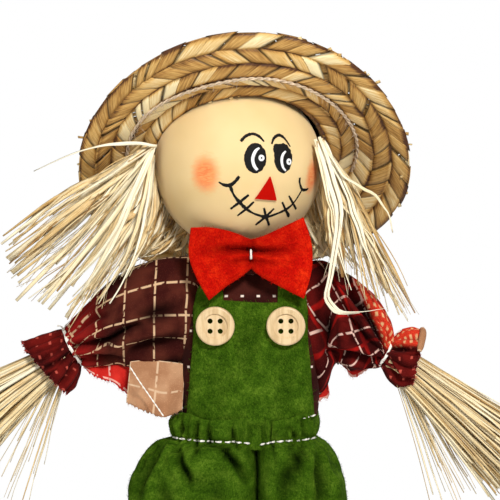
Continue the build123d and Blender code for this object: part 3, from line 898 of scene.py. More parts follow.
def make_twine():
    """The fuzzy two-ply twine that lies in the seam of the brim, on its underside."""
    points, hairs = 240, 420
    r = dice("twine")
    turn = np.linspace(-0.62 * pi, 0.60 * pi, points)
    strips = Strips()
    for ply in (0, pi):
        twist = 46 * turn + ply
        radius = SEAM_R + 0.1 + 0.35 * np.cos(twist) + 0.5 * np.sin(5 * turn)
        height = -0.55 + 0.35 * np.sin(twist) + 0.12 * np.sin(7 * turn) + brim_nod(turn)
        path = np.stack([radius * np.sin(turn), -radius * np.cos(turn), height], -1)
        strips.add(from_hat(path), HAT[:, 2], 0.38, thick=0.7, crown=0.0)
    for _ in range(hairs):
        a = r.uniform(turn[0], turn[-1])
        x = (SEAM_R + r.normal() * 0.5) * math.sin(a)
        y = -(SEAM_R + r.normal() * 0.5) * math.cos(a)
        start = np.array([x, y, -0.7 + float(brim_nod(a))])
        way = unit(r.normal(size=3) * [1, 1, 0.5] + [0, 0, -0.5])
        bend = unit(r.normal(size=3)) * 0.5
        t = np.linspace(0, 1, 4)[:, None]
        path = start + way * t * r.uniform(1.0, 3.2) + bend * t**2
        strips.add(from_hat(path), unit(r.normal(size=3)), 0.05, thick=0.07, crown=0.0, tone=0.8, cols=2)
    dress(strips.piece("brim_seam_twine"), "twine", "head", "straw")


make_hat()


# ---- head ---------------------------------------------------------------------------------------------
def make_head():
    """The stretched cover: a ball drawn together into a gathered neck."""
    ball_rows, neck_rows, cols = 96, 14, 160
    polar = np.linspace(0.0, pi - 0.24, ball_rows)
    around = np.linspace(0, tau, cols, endpoint=False)
    crease = np.abs(np.sin(9 * around + 0.6 * np.sin(2 * around)))
    low = ease(polar, 2.25, 2.95)
    radius = HEAD_R - 0.15 * low[:, None] - (0.9 * low[:, None] * (1 - crease[None]) ** 2)
    flat = radius * np.sin(polar)[:, None]
    ball = np.stack([flat * np.cos(around), flat * np.sin(around), radius * np.cos(polar)[:, None]], -1)
    ball = ball + HEAD_C
    neck_z = np.linspace(ball[-1, 0, 2] - 0.5, NECK_Z + 0.1, neck_rows)
    share = np.linspace(0, 1, neck_rows)[:, None]
    neck_r = NECK_R - 0.25 - 1.1 * (1 - crease)[None] ** 2
    pull = ease(share, 0, 0.7)
    centre = HEAD_C[:2] * (1 - pull)
    first = np.linalg.norm(ball[-1, :, :2] - HEAD_C[:2], axis=1)
    radius = first[None] * (1 - pull) + neck_r * pull
    neck = np.stack([centre[:, :1] + radius * np.cos(around), centre[:, 1:] + radius * np.sin(around),
                     np.broadcast_to(neck_z[:, None], radius.shape)], -1)
    grid = np.concatenate([ball, neck])
    head, _ = cloth("face_cloth", grid, 0.6, wrap=True)
    dress(head, "face", "head", "face_cloth", "head_cover")


def painted(strokes, name, material):
    """Paint on the face: each stroke is its points (across, up, half width) in mm."""
    strips = Strips()
    r = dice(name)
    for stroke in strokes:
        path = smooth_path(stroke, max(10, 7 * len(stroke)))
        wobble = 1 + 0.10 * r.normal(size=len(path))
        line = on_face(path[:, 0], path[:, 1], 0.06)
        out = unit(line - HEAD_C)
        ahead = unit(np.gradient(line, axis=0))
        side = np.cross(out, ahead)
        strips.add(line, side, path[:, 2] * wobble, thick=0.16, crown=0.05, cols=5, tone=0.5)
    dress(strips.piece(name), material, "head", "face_cloth")


def painted_spot(name, a, b, wide, high, material, out=0.0, smear=None, rough=0.03):
    """A painted ellipse with a brushed edge. smear is (angle, spread, reach) of a bulge in its edge."""
    sides, rings, thick = 96, (0.35, 0.7, 0.93, 1.0), 0.14
    angle = np.linspace(0, tau, sides, endpoint=False)
    circle = np.stack([np.cos(angle), np.sin(angle)], -1)
    edge = 1 + rough * ripple(circle * 6, 2.2, name) + 0.012 * dice(name).normal(size=sides)
    if smear:
        away = (angle - smear[0] + pi) % tau - pi
        edge = edge + smear[2] * np.exp(-((away / smear[1]) ** 2))

    def ring(share, height):
        around = circle * edge[:, None] * share * [wide, high] + [a, b]
        return list(on_face(around[:, 0], around[:, 1], height))

    co = [on_face(a, b, out + thick)]
    for share in rings:
        co += ring(share, out + (thick if share < 1 else 0.02))
    co += ring(1.0, -0.25)  # the underside, inside the cover
    faces = []
    for i in range(sides):
        j = (i + 1) % sides
        faces.append([0, 1 + i, 1 + j])
        for k in range(len(rings)):
            inner, outer = 1 + k * sides, 1 + (k + 1) * sides
            faces.append([inner + i, outer + i, outer + j, inner + j])
    under = 1 + len(rings) * sides
    faces.append([under + i for i in reversed(range(sides))])
    dress(mesh_piece(name, co, faces), material, "head", "face_cloth")


def make_face():
    """Eyes, brows, and a mouth that looks stitched, all painted."""
    painted_spot("eye_right", -6.2, 1.3, 4.35, 5.8, "black_paint")
    painted_spot("eye_left", 5.4, 2.2, 4.1, 5.75, "black_paint", smear=(2.5, 0.33, 0.32), rough=0.05)
    gleams = [[(-4.9, 5.3, 0.35), (-6.4, 3.8, 0.6), (-7.3, 1.0, 0.62), (-6.6, -1.6, 0.62),
               (-5.2, -3.2, 0.5)],
              [(6.3, 4.9, 0.35), (5.0, 3.4, 0.55), (4.5, 1.2, 0.58), (5.2, -1.2, 0.5), (6.6, -2.6, 0.35)]]
    lifted = Strips()
    for stroke in gleams:
        path = smooth_path(stroke, 30)
        line = on_face(path[:, 0], path[:, 1], 0.17)
        out = unit(line - HEAD_C)
        side = np.cross(out, unit(np.gradient(line, axis=0)))
        lifted.add(line, side, path[:, 2], thick=0.14, crown=0.04, cols=5)
    dress(lifted.piece("eye_gleams"), "white_paint", "head", "face_cloth")
    for side, (a, b) in (("right", (-3.9, 1.5)), ("left", (7.9, 1.0))):
        painted_spot(f"eye_dot_{side}", a, b, 1.2, 1.25, "white_paint", out=0.10)
        painted_spot(f"eye_dot_centre_{side}", a, b, 0.34, 0.38, "black_paint", out=0.20)
    thin, bold = 0.32, 0.55
    strokes = [
        # brows
        [(-12.2, 7.4, bold), (-10.3, 9.6, 0.62), (-7.6, 10.7, 0.6), (-5.0, 9.9, bold), (-2.9, 7.9, 0.3)],
        [(0.2, 7.2, 0.3), (1.4, 9.7, bold), (3.8, 11.1, 0.6), (6.2, 10.0, 0.5), (8.7, 6.9, 0.28)],
        # the mouth, and the dimples at its ends
        [(-15.6, -9.4, 0.75), (-13.8, -13.3, 0.42), (-11.0, -16.4, 0.7), (-7.7, -19.0, 0.6),
         (-3.5, -20.9, 0.42), (2.9, -21.9, 0.7), (7.7, -20.2, 0.45), (12.4, -17.6, 0.6), (15.0, -14.7, 0.4),
         (17.3, -9.3, thin)],
        [(-20.0, -8.6, 0.28), (-17.8, -9.6, 0.55), (-15.4, -9.6, 0.75), (-13.4, -8.0, 0.6),
         (-12.0, -6.0, 0.6)],
        [(14.4, -4.6, 0.6), (14.9, -6.6, 0.5), (17.2, -8.9, 0.55), (19.8, -9.0, 0.55), (21.6, -8.4, 0.35)],
        # its stitches
        [(-15.0, -19.4, 0.35), (-11.2, -16.3, bold), (-7.6, -13.0, 0.45)],
        [(-11.6, -22.3, 0.3), (-7.9, -19.0, bold), (-5.0, -15.7, 0.38)],
        [(-1.0, -26.3, 0.45), (2.6, -21.9, 0.65), (5.3, -17.9, 0.35)],
        [(0.2, -18.0, 0.35), (2.9, -21.9, 0.6), (7.2, -26.0, 0.42)],
        [(8.3, -14.9, 0.35), (11.8, -17.9, 0.5), (15.6, -20.2, 0.62), (16.8, -21.0, 0.3)],
        [(10.7, -12.1, 0.3), (14.6, -14.9, 0.5), (18.7, -17.2, 0.42)],
    ]
    painted(strokes, "brows_and_mouth", "black_paint")


make_head()
make_face()


# ---- raffia -------------------------------------------------------------------------------------------
def lay_strips(strips, name, guides, count, widths, spread, tones):
    """Strips that fan between neighbouring guides. A guide is its points, from root to tip. widths are the
    half width, how much it varies, and the most it can be. tones are the tone and how much it varies."""
    steps, wave, short = 16, 0.5, 0.35
    r = dice(name)
    guides = np.asarray(guides, float)
    for _ in range(count):
        t = r.uniform(0, len(guides) - 1 - 1e-6)
        i = int(t)
        points = guides[i] * (1 - t + i) + guides[i + 1] * (t - i)
        reach = np.linspace(0, 1, len(points))[:, None]
        points = points + spread * r.normal(size=points.shape) * (0.5 + 2.4 * reach)
        path = smooth_path(points, steps)
        keep = 1 - short * r.random() ** 2
        path = path[:max(6, int(steps * keep))]
        along = np.linspace(0, 1, len(path))[:, None]
        bumps = wave * ripple(along * 3 + r.uniform(0, 90), 1.1, name + "wave")[:, None]
        path = path + bumps * unit(r.normal(size=3))
        half = widths[0] * math.exp(widths[1] * r.normal()) * (1 - 0.55 * along[:, 0] ** 3)
        half = np.minimum(half, widths[2])
        side = unit(r.normal(size=3) * [1, 0.45, 1])
        twist = np.linspace(0, r.normal() * 1.2, len(path))[:, None]
        other = unit(r.normal(size=3))
        side = unit(side * np.cos(twist) + other * np.sin(twist))
        tone = tones[0] + tones[1] * r.normal()
        strips.add(path, side, half, thick=0.14, crown=0.12 * float(half[0]), tone=tone,
                   shift=r.uniform(0, 400, 2))


HAIR = {
    # each guide runs from its root under the hat to its tip
    "right": [[(-39, -13, 343), (-55, -15, 334), (-73, -15, 323), (-100, -13, 303)],
              [(-39, -13, 342), (-53, -16, 328), (-71, -17, 313), (-98, -15, 291)],
              [(-39, -12, 341), (-50, -17, 325), (-66, -19, 305), (-91, -20, 280)],
              [(-39, -11, 340), (-47, -17, 321), (-59, -20, 299), (-77, -22, 272)],
              [(-39, -9, 339), (-43, -14, 320), (-52, -18, 301), (-67, -21, 277)],
              [(-38.5, -5, 337), (-39, -9, 319), (-43, -12, 306), (-52, -17, 290)],
              [(-37, -1, 333), (-37, -4, 318), (-42, -7, 306), (-52, -9, 294)],
              [(-30, 5, 330), (-32, 2, 317), (-37, -2, 306), (-46, -7, 297)],
              [(-20, 9, 319), (-24, 5, 311), (-30, 0, 305), (-39, -6, 300)]],
    "left": [[(26.5, -17, 345), (30, -19, 330), (31, -21, 312), (30, -22, 292)],
             [(27, -17, 344), (32, -19, 327), (35, -21, 309), (38, -22, 284)],
             [(27.5, -16, 343), (35, -19, 326), (41, -20, 308), (48, -21, 279)],
             [(28, -15, 342), (37, -18, 326), (46, -20, 305), (59, -21, 276)],
             [(28.5, -13, 341), (38, -16, 324), (48, -18, 303), (68, -20, 271)],
             [(27, -8, 336), (30, -11, 320), (31, -13, 308), (34, -16, 297)],
             [(24, 4, 330), (26, 1, 317), (29, -5, 307), (34, -10, 299)],
             [(14, 8, 318), (18, 4, 311), (23, -2, 305), (29, -8, 300)]],
    "back": [[(-24, 24, 321), (-28, 25, 312), (-30, 25, 302), (-31, 25, 292)],
             [(0, 31, 318), (-1, 29.5, 309), (-1, 27, 300), (-1, 26, 289)],
             [(18, 25, 321), (22, 25, 312), (25, 25, 302), (27, 25, 291)]],
}
HAIR_LOOSE = {
    # single strips that lie over the lock: points from root to tip, half width, tone
    "right": [([(-36, -15, 343), (-50, -20, 343.5), (-66, -20, 340.5), (-86, -18, 332)], 0.55, 0.95),
              ([(-38, -15, 342), (-50, -20, 334), (-66, -21, 324), (-96, -18, 307)], 1.15, 0.80),
              ([(-38, -15, 342), (-49, -21, 328), (-62, -22, 314), (-84, -21, 297)], 1.9, 0.82),
              ([(-38, -15, 341), (-44, -21, 325), (-53, -23, 304), (-66, -24, 284)], 2.3, 0.88),
              ([(-38, -15, 341), (-46, -21, 322), (-58, -23, 301), (-80, -23, 280)], 1.5, 0.92),
              ([(-38, -14, 340), (-41, -19, 322), (-47, -22, 302), (-60, -25, 279)], 1.0, 0.85),
              ([(-38, -14, 339), (-40, -18, 318), (-46, -22, 296), (-58, -24, 275)], 0.5, 0.75)],
    "left": [([(26, -18, 346), (31, -22, 330), (34, -24, 315), (31, -25, 294), (29.4, -25, 284),
               (33, -25, 279.5), (41, -25, 278.6), (51, -24, 280)], 1.7, 0.95),
             ([(27, -18, 345), (36, -23, 331), (47, -23, 324), (54, -21, 314), (55, -19, 300)], 0.5, 0.85),
             ([(27, -18, 344), (36, -22, 327), (42, -23, 309), (49, -24, 287)], 1.5, 0.85),
             ([(28, -18, 343), (38, -21, 325), (46, -22, 306), (66, -23, 273)], 0.9, 0.75),
             ([(26, -18, 343), (30, -22, 324), (33, -23, 309), (38, -24, 286)], 1.2, 0.72),
             ([(28, -18, 330), (38, -22, 316), (46, -22, 308), (50, -22, 299)], 0.35, 0.85)],
    "back": [],
}


FIBRE = 0.42  # half width of the widest fibre of a strip that splits


def lay_loose(strips, name, rows):
    """Single strips along their own points. A wide one is split into fibres that part near its tip."""
    r = dice(name)
    for points, half, tone in rows:
        path = smooth_path(points, 26)
        along = np.linspace(0, 1, len(path))
        path = path + 0.35 * ripple(along[:, None] * 4 + r.uniform(0, 90), 1.0, name)[:, None]
        side = unit(np.array([1.0, 0.2, 0.5]) + 0.25 * r.normal(size=3))
        parts = max(1, round(half / FIBRE))
        pinch = 1 - 0.55 * along**2 + 0.18 * np.sin(11 * along + r.uniform(0, 6))
        for k in range(parts):
            lane = (k - (parts - 1) / 2) * 2 * half / parts
            fibre = path + side * (lane * pinch)[:, None]
            stray = 0.22 * r.normal() + 0.9 * r.normal() * along**3
            fibre = fibre + stray[:, None] * np.array([0.7, -0.3, 0.6])
            keep = len(fibre) - int(r.integers(0, 5))
            wide = half / parts * 1.25 * (1 - 0.4 * along**3) * pinch
            shade = tone + 0.09 * r.normal() + 0.05 * np.sin(9 * along[:keep])
            strips.add(fibre[:keep], side, wide[:keep], thick=0.12, crown=0.3 * half / parts, tone=shade,
                       shift=r.uniform(0, 400, 2))


def make_hair():
    """A lock on each side, and a short one behind the neck."""
    for side, count, widths in (("right", 150, (0.75, 0.60, 2.1)), ("left", 110, (0.62, 0.6, 1.9)),
                                ("back", 120, (0.6, 0.5, 1.6))):
        strips = Strips()
        lay_strips(strips, f"hair {side}", HAIR[side], count, widths, spread=0.75, tones=(0.60, 0.20))
        lay_strips(strips, f"hair fine {side}", HAIR[side], count // 2, (0.2, 0.3, 0.5), spread=1.4,
                   tones=(0.45, 0.2))
        lay_loose(strips, f"hair loose {side}", HAIR_LOOSE[side])
        piece = strips.piece(f"hair_lock_{side}")
        dress(piece, "raffia", None, "raffia", f"hair_{side}")
        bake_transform(piece)


make_hair()


# where each hand starts, and where its longest strips end
LIMBS = {
    "right": dict(wrist=joint_at("wrist_right"), tip=np.array([-118.0, -4, 231])),
    "left": dict(wrist=joint_at("wrist_left"), tip=np.array([104.0, -22, 221])),
}


def sheaf(strips, name, root, tip, root_r, tip_r, count, widths, droop=0.0, tones=(0.55, 0.2), short=0.3):
    """A tied bundle that opens from its root towards its tip. tip_r is its radius there, up and across.
    short is how much shorter than the rest a strip can be. widths and tones are as in `lay_strips`."""
    r = dice(name)
    way = unit(tip - root)
    up = unit(np.array([0, 0, 1.0]) - way * way[2]) if abs(way[2]) < 0.9 else np.array([1.0, 0, 0])
    side = np.cross(way, up)
    long = np.linalg.norm(tip - root)
    for _ in range(count):
        share, angle = math.sqrt(r.random()), r.uniform(0, tau)
        a, b = share * math.cos(angle), share * math.sin(angle)
        reach = long * (1 - short * r.random() ** 1.6)
        t = np.linspace(0, 1, 13)[:, None]
        open_out = t**1.15 * reach / long
        path = root + way * (t * reach)
        path = path + up * a * (root_r + (tip_r[0] - root_r) * open_out)
        path = path + side * b * (root_r + (tip_r[1] - root_r) * open_out)
        path = path + np.array([0, 0, -1.0]) * droop * r.random() ** 2 * t**2.2
        bumps = 0.5 * ripple(t * 3 + r.uniform(0, 90), 1.3, name)[:, None]
        path = path + bumps * unit(r.normal(size=3)) * t
        half = min(widths[0] * math.exp(widths[1] * r.normal()), widths[2])
        across = unit(r.normal(size=3))
        tone = tones[0] + tones[1] * r.normal()
        strips.add(path, across, half * (1 - 0.4 * t[:, 0] ** 4), thick=max(0.3, half * 0.7),
                   crown=0.2 * half, tone=tone, shift=r.uniform(0, 400, 2))


def make_hands():
    """A raffia hand beyond each wrist's tie."""
    for side, limb in LIMBS.items():
        strips = Strips()
        way = unit(limb["tip"] - limb["wrist"])
        root = limb["wrist"] + way * 3.4
        sheaf(strips, f"hand {side}", root, limb["tip"], 5.6, (17, 11), 340, (0.62, 0.35, 1.25), droop=5,
              tones=(0.58, 0.17))
        down = unit(way + [0, 0, -1.1])
        sheaf(strips, f"hand strays {side}", root - [0, 0, 2.5], root + down * 58, 3.0, (14, 8), 26,
              (0.24, 0.4, 0.6), droop=9, tones=(0.6, 0.15), short=0.6)
        dress(strips.piece(f"hand_raffia_{side}"), "raffia", f"hand_{side}", "raffia",
              f"hand_{side}")


make_hands()


# ---- cloth --------------------------------------------------------------------------------------------
def caster(node):
    """Where a ray first meets a CAD node: its point and its outward direction, in mm."""
    mesh = nodes[node].data
    tree = BVHTree.FromPolygons([v.co for v in mesh.vertices], [list(p.vertices) for p in mesh.polygons])

    def cast(start, way):
        for nudge in (0.0, 0.05, -0.05, 0.15):  # a ray along an edge between two faces can miss both
            origin = (Vector(start) + Vector((nudge, nudge, nudge))) * MM
            hit, normal, _, _ = tree.ray_cast(origin, Vector(way))
            if hit is not None:
                break
        hit, normal = np.array(hit) / MM, np.array(normal)
        return hit, normal if normal @ np.asarray(way) < 0 else -normal
    return cast


cast_torso = caster("shirt_body")
FAR = 150.0  # a ray starts this far out
STRAP_MIDDLE_Z = 262.0  # the straps are measured by their turn about this height


def on_torso(x, z, out=0.0):
    """The front of the torso at x and z, raised off the shirt."""
    hit, normal = cast_torso((x, -FAR, z), (0, 1, 0))
    return hit + normal * out


def round_torso(turn, z, out=0.0):
    """The torso at a turn about its axis, from its left side forwards."""
    way = np.array([math.cos(turn), -math.sin(turn), 0])
    hit, normal = cast_torso(way * FAR + [0, 0, z], -way)
    return hit + normal * out


def over_torso(x, turn, out=0.0):
    """The torso in an upright slice at x, at a turn over the shoulder from the front to the back."""
    way = np.array([0, -math.cos(turn), math.sin(turn)])
    hit, normal = cast_torso(way * FAR + [x, 0, STRAP_MIDDLE_Z], -way)
    return hit + normal * out


def bake(piece):
    """Makes the modifiers' result the piece's own mesh."""
    graph = bpy.context.evaluated_depsgraph_get()
    mesh = bpy.data.meshes.new_from_object(piece.evaluated_get(graph), preserve_all_data_layers=True,
                                           depsgraph=graph)
    piece.modifiers.clear()
    piece.data = mesh


def cross(piece):
    """For a piece that reaches from one body to the next: makes its mesh final, with its modifiers and
    placement.
    """
    bake(piece)
    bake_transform(piece)


def follow_arm(piece):
    """Makes final the mesh of a cloth that reaches from the shirt's body to the arm."""
    cross(piece)


def normals_of(grid, wrap):
    """Outward directions of a grid of points, up to a sign."""
    ahead = np.gradient(grid, axis=0)
    if wrap:
        around = np.roll(grid, -1, axis=1) - np.roll(grid, 1, axis=1)
    else:
        around = np.gradient(grid, axis=1)
    return unit(np.cross(ahead, around))


def to_front(grid):
    """Directions of a panel's grid of points, turned to the front."""
    out = normals_of(grid, False)
    return -out if out[..., 1].mean() > 0 else out


def outward(grid):
    """Outward directions of a closed tube's grid of points."""
    out = normals_of(grid, True)
    from_middle = grid - grid.mean(1, keepdims=True)
    out *= np.sign((out * from_middle).sum(-1)).mean() or 1
    return out


def crease(grid, normals, marks, gain=1.0):
    """Folds pressed into the front of a cloth along lines: each mark is (points (x, z), width, depth). Gives
    the new points, and how deep in a fold each of them lies."""
    facing = ease(-normals[..., 1], 0.0, 0.5)
    push = np.zeros(grid.shape[:2])
    for line, width, depth in marks:
        path = smooth_path(line, 24)
        far = np.linalg.norm(grid[..., None, [0, 2]] - path, axis=-1)
        share = far.argmin(-1) / (len(path) - 1)
        far = far.min(-1)
        fade = np.sin(pi * (0.12 + 0.76 * share))
        valley = np.exp(-((far / width) ** 2))
        ridge = np.exp(-(((far - 2.0 * width) / (0.9 * width)) ** 2))
        push += depth * fade * (valley - 0.28 * ridge)
    return grid - normals * (gain * push * facing)[..., None], push * facing


def tube(stations, rows, cols):
    """Points of a cloth tube through stations: (top x, top z, bottom x, bottom z, y, half depth). Column 0 is
    its top, and its columns go round by the back."""
    path = smooth_path(stations, rows)
    turn = np.linspace(0, tau, cols, endpoint=False)
    centre = np.stack([(path[:, 0] + path[:, 2]) / 2, path[:, 4], (path[:, 1] + path[:, 3]) / 2], -1)
    up = np.stack([(path[:, 0] - path[:, 2]) / 2, 0 * path[:, 0], (path[:, 1] - path[:, 3]) / 2], -1)
    side = np.stack([0 * path[:, 5], path[:, 5], 0 * path[:, 5]], -1)
    c, s = np.cos(turn)[None, :, None], np.sin(turn)[None, :, None]
    return centre[:, None] + up[:, None] * c + side[:, None] * s, turn


def gathers(turn, share, count, name, sharp=0.55):
    """Uneven folds round a tube: 0 in the valleys, 1 on the ridges. share is the way along it."""
    share = share[:, None]
    drift = 0.35 * np.sin(2 * turn[None] + 1.7 * share * pi) + 0.2 * np.sin(3 * turn[None] - share)
    phase = count * turn[None] / 2 + drift + dice(name).uniform(0, tau)
    return np.abs(np.sin(phase)) ** sharp


# the outline of each sleeve, from the shoulder to the tie, and of its cuff: see `tube`
SLEEVES = {
    "right": [(-16, 286, -18, 264, 0, 8), (-21.5, 298.5, -23, 258, 0, 12), (-30, 300, -31, 257, -0.5, 14.5),
              (-39, 298, -40, 257.2, -1, 15), (-48, 294.6, -49, 256.8, -1, 14.5),
              (-56, 289.8, -57, 256.8, -1, 13),
              (-63.5, 282.4, -62.6, 256.4, -1, 10.5), (-69.2, 275.8, -65.4, 257, -1, 8.4),
              (-73.4, 270.8, -66.8, 257.8, -1, 6.6)],
    "left": [(16, 286, 18, 262, 0, 8), (21.5, 296.5, 23, 252, 0, 12), (27.5, 298, 26.6, 245.8, -1, 14),
             (30.6, 297.4, 30.2, 250, -2, 14.3), (34.4, 295.4, 33.8, 258.8, -3, 14),
             (41.4, 290.6, 39.6, 254.8, -6, 13), (48.9, 283.6, 45.6, 256.6, -9, 11),
             (53.6, 275.4, 48.8, 257.4, -11, 8), (55.2, 267.8, 50.4, 258, -12, 5.4)],
}
CUFFS = {
    "right": [(-72.4, 271.6, -66.0, 258.2, -1, 6.7), (-74.4, 271.0, -67.2, 256.8, -1, 6.6),
              (-78.2, 269.9, -67.9, 253.3, -1, 8.2), (-83.8, 267.8, -69.6, 249.8, -1.3, 9.6),
              (-89.6, 265.4, -72.8, 246.6, -1.5, 10.4)],
    "left": [(54.6, 268.6, 49.8, 258.4, -11.6, 5.6), (55.9, 268.6, 50.9, 257.2, -12.3, 5.4),
             (58.6, 270.7, 53.2, 253.2, -13.2, 7.6), (62.4, 271.6, 57.4, 250.2, -14.2, 9.6),
             (66.4, 270.4, 62.2, 250.8, -15, 10.6)],
}
# folds of the sleeves and the cuffs: see `crease`
SLEEVE_FOLDS = {
    "right": [([(-69, 264.6), (-61, 266), (-55, 267), (-48, 271.4), (-43, 272.6)], 1.5, 4.2),
              ([(-43, 274.4), (-36, 277.6), (-29, 279.6)], 3.0, 3.6),
              ([(-47, 262), (-38, 265.4), (-28, 266.4)], 2.4, 3.0),
              ([(-70, 269.4), (-62, 275.4), (-56, 277.4)], 1.1, 1.5),
              ([(-67, 259.8), (-58, 261), (-50, 259.4)], 1.3, 2.0)],
    "left": [([(36, 290.4), (42, 282.6), (47.4, 274.4), (52, 266)], 1.8, 4.4),
             ([(28.6, 277), (28.8, 270), (30, 262)], 3.2, 4.2),
             ([(33, 284), (38.4, 277), (45, 268.4), (51.4, 262.6)], 1.5, 2.6),
             ([(30, 262), (37, 262), (44.6, 260), (50.4, 260)], 1.5, 2.8)],
}
CUFF_FOLDS = {
    "right": [([(-84, 254.8), (-77, 258), (-70, 262)], 1.0, 2.6),
              ([(-74, 250), (-71, 254), (-69, 258)], 0.9, 2.2),
              ([(-87, 262), (-80, 264.4), (-73, 267)], 0.8, 1.2)],
    "left": [([(63, 264.4), (58, 264.8), (54, 264.6)], 1.2, 2.4),
             ([(58, 252), (55, 256), (52.6, 260.4)], 0.9, 1.8)],
}


SLEEVE_ROWS, CUFF_ROWS, SLEEVE_COLS = 84, 34, 120


def make_sleeve(side):
    """A padded sleeve, drawn together at the wrist."""
    grid, turn = tube(SLEEVES[side], SLEEVE_ROWS, SLEEVE_COLS)
    share = np.linspace(0, 1, SLEEVE_ROWS)
    out = outward(grid)
    folds = gathers(turn, share, 13, f"sleeve {side}")
    deep = 0.4 + 2.0 * ease(share, 0.55, 1.0)
    grid = grid + out * (folds - 0.72)[..., None] * deep[:, None, None]
    grid = grid + out * (0.55 * ripple(grid, 13.0, f"sleeve noise {side}"))[..., None]
    grid = grid + out * (0.16 * ripple(grid, 3.6, f"sleeve fine {side}"))[..., None]
    grid, pressed = crease(grid, out, SLEEVE_FOLDS[side], 1.6)
    # painted shade: darker in the pressed folds, and in the gathers' valleys towards the wrist
    dark = 0.32 * pressed + 0.5 * ease(0.55 - folds, 0, 0.5) * ease(share, 0.5, 1.0)[:, None]
    sleeve, _ = cloth(f"sleeve_cloth_{side}", grid, 0.7, wrap=True, dark=dark)
    dress(sleeve, f"sleeve_{side}", None, "shirt_plaid", f"sleeve_{side}")
    follow_arm(sleeve)


def make_cuff(side):
    """The gathered end of a sleeve beyond the wrist's tie, with its ragged edge and loose threads."""
    grid, turn = tube(CUFFS[side], CUFF_ROWS, SLEEVE_COLS)
    share = np.linspace(0, 1, CUFF_ROWS)
    out = outward(grid)
    folds = gathers(turn, share, 11, f"cuff {side}", 0.7)
    deep = 1.0 + 2.4 * ease(share, 0.15, 1.0)
    grid = grid + out * (folds - 0.6)[..., None] * deep[:, None, None]
    grid = grid + out * (0.4 * ripple(grid, 6.0, f"cuff noise {side}"))[..., None]
    grid, pressed = crease(grid, out, CUFF_FOLDS[side], 1.3)
    # painted shade: darker in the pressed folds and in the gathers' valleys
    dark = 0.35 * pressed + 0.6 * ease(0.55 - folds, 0, 0.5)
    ragged = dice(f"cuff edge {side}").normal(size=SLEEVE_COLS) * 0.35
    way = unit(grid[-1] - grid[-3])
    grid[-1] += way * ragged[:, None]
    cuff, flat = cloth(f"cuff_cloth_{side}", grid, 0.6, wrap=True, dark=dark)
    dress(cuff, f"cuff_{side}", None, "shirt_plaid", f"sleeve_cuff_{side}")
    cross(cuff)
    fray = Strips()
    fringe(fray, f"cuff {side}", grid[-1], way, out[-1], 260, 1.5)
    dress(fray.piece(f"cuff_fray_{side}"), "red_thread", f"hand_{side}", "shirt_plaid")
    if side == "left":
        make_cuff_curl(grid, way, out)


def make_cuff_curl(grid, way, out):
    """The upper front of the left cuff's edge, rolled outwards, so that its paler wrong side shows."""
    edge = grid[-1]
    height = (edge[:, 2] - edge[:, 2].min()) / np.ptp(edge[:, 2])
    front = edge[:, 1] < edge[:, 1].mean() + 4.0
    picked = np.flatnonzero((height > 0.5) & front)
    picked = picked[np.argsort(edge[picked, 1])]
    parts, cols = 5, 40  # the picked points are averaged in a few parts, which a smooth line goes through
    line, ahead, away = (smooth_path([part.mean(0) for part in np.array_split(a[picked], parts)], cols)
                         for a in (edge, way, out[-1]))
    across = np.linspace(0, 1, cols)
    radius = 0.25 + 0.95 * np.sin(pi * (0.10 + 0.80 * across)) ** 0.8
    turn = np.linspace(-0.5, 4.4, 18)[:, None, None]
    roll = line + radius[:, None] * (np.sin(turn) * unit(ahead) + (1 - np.cos(turn)) * unit(away))
    curl, _ = cloth("cuff_curl_left", roll, 0.5)
    dress(curl, "wrong_side", "hand_left", "shirt_wrong_side")


def fringe(strips, name, edge, way, normal, count, reach, half=0.07):
    """Loose thread ends along a raw edge."""
    r = dice("fringe " + name)
    for _ in range(count):
        i = int(r.integers(0, len(edge)))
        lean = unit(way[i] + 0.45 * r.normal(size=3))
        t = np.linspace(0, 1, 5)[:, None]
        bend = unit(r.normal(size=3)) * 0.35 * reach
        path = edge[i] - way[i] * 0.4 + lean * t * r.uniform(0.25, 1) * reach + bend * t**2 * r.random()
        strips.add(path, normal[i], half, thick=0.1, crown=0, tone=r.uniform(0.2, 0.9), cols=2)


def thread_path(strips, path, half):
    """A two-ply thread along a path."""
    path = np.asarray(path, float)
    ahead = unit(np.gradient(path, axis=0))
    side = unit(np.cross(ahead, [0.3, 0.5, 0.8]))
    other = np.cross(ahead, side)
    far = way_along(path)[:, None]
    for ply in (0, pi):
        twist = far / (2.6 * half) + ply
        line = path + (side * np.cos(twist) + other * np.sin(twist)) * half * 0.45
        strips.add(line, other, half * 0.62, thick=half * 1.1, crown=0)


def make_wrist_tie(side):
    """White thread wound twice round the gathered wrist, with two cut ends."""
    strips = Strips()
    station = np.array(SLEEVES[side][-1], float)
    centre = np.array([(station[0] + station[2]) / 2, station[4], (station[1] + station[3]) / 2])
    up = np.array([(station[0] - station[2]) / 2, 0, (station[1] - station[3]) / 2])
    along = unit(LIMBS[side]["wrist"] - joint_at(f"shoulder_{side}"))
    grow = 1.09  # the thread lies this much outside the cuff's outline
    depth = station[5] * grow
    points = 150
    t = np.linspace(0, 2 * tau, points)
    shift = np.linspace(-0.45, 0.45, points) + 0.25 * np.sin(3 * t)
    loop = centre + up * grow * np.cos(t)[:, None] + np.array([0, 1.0, 0]) * depth * np.sin(t)[:, None]
    loop = loop + along * shift[:, None]
    thread_path(strips, loop, 0.42)
    knot = centre + up * grow
    for ends in ([(0, 0, 0), (0.6, -1, 1.0), (1.8, -1.6, 2.3), (3.4, -1.8, 3.4)],
                 [(0, 0, 0), (-0.8, -1, 0.9), (-1.6, -1.5, 1.3), (-2.4, -1.6, 1.2)]):
        thread_path(strips, smooth_path(knot + np.array(ends, float), 16), 0.3)
    dress(strips.piece(f"wrist_thread_{side}"), "thread", f"arm_{side}", "white_thread",
          f"wrist_tie_{side}")


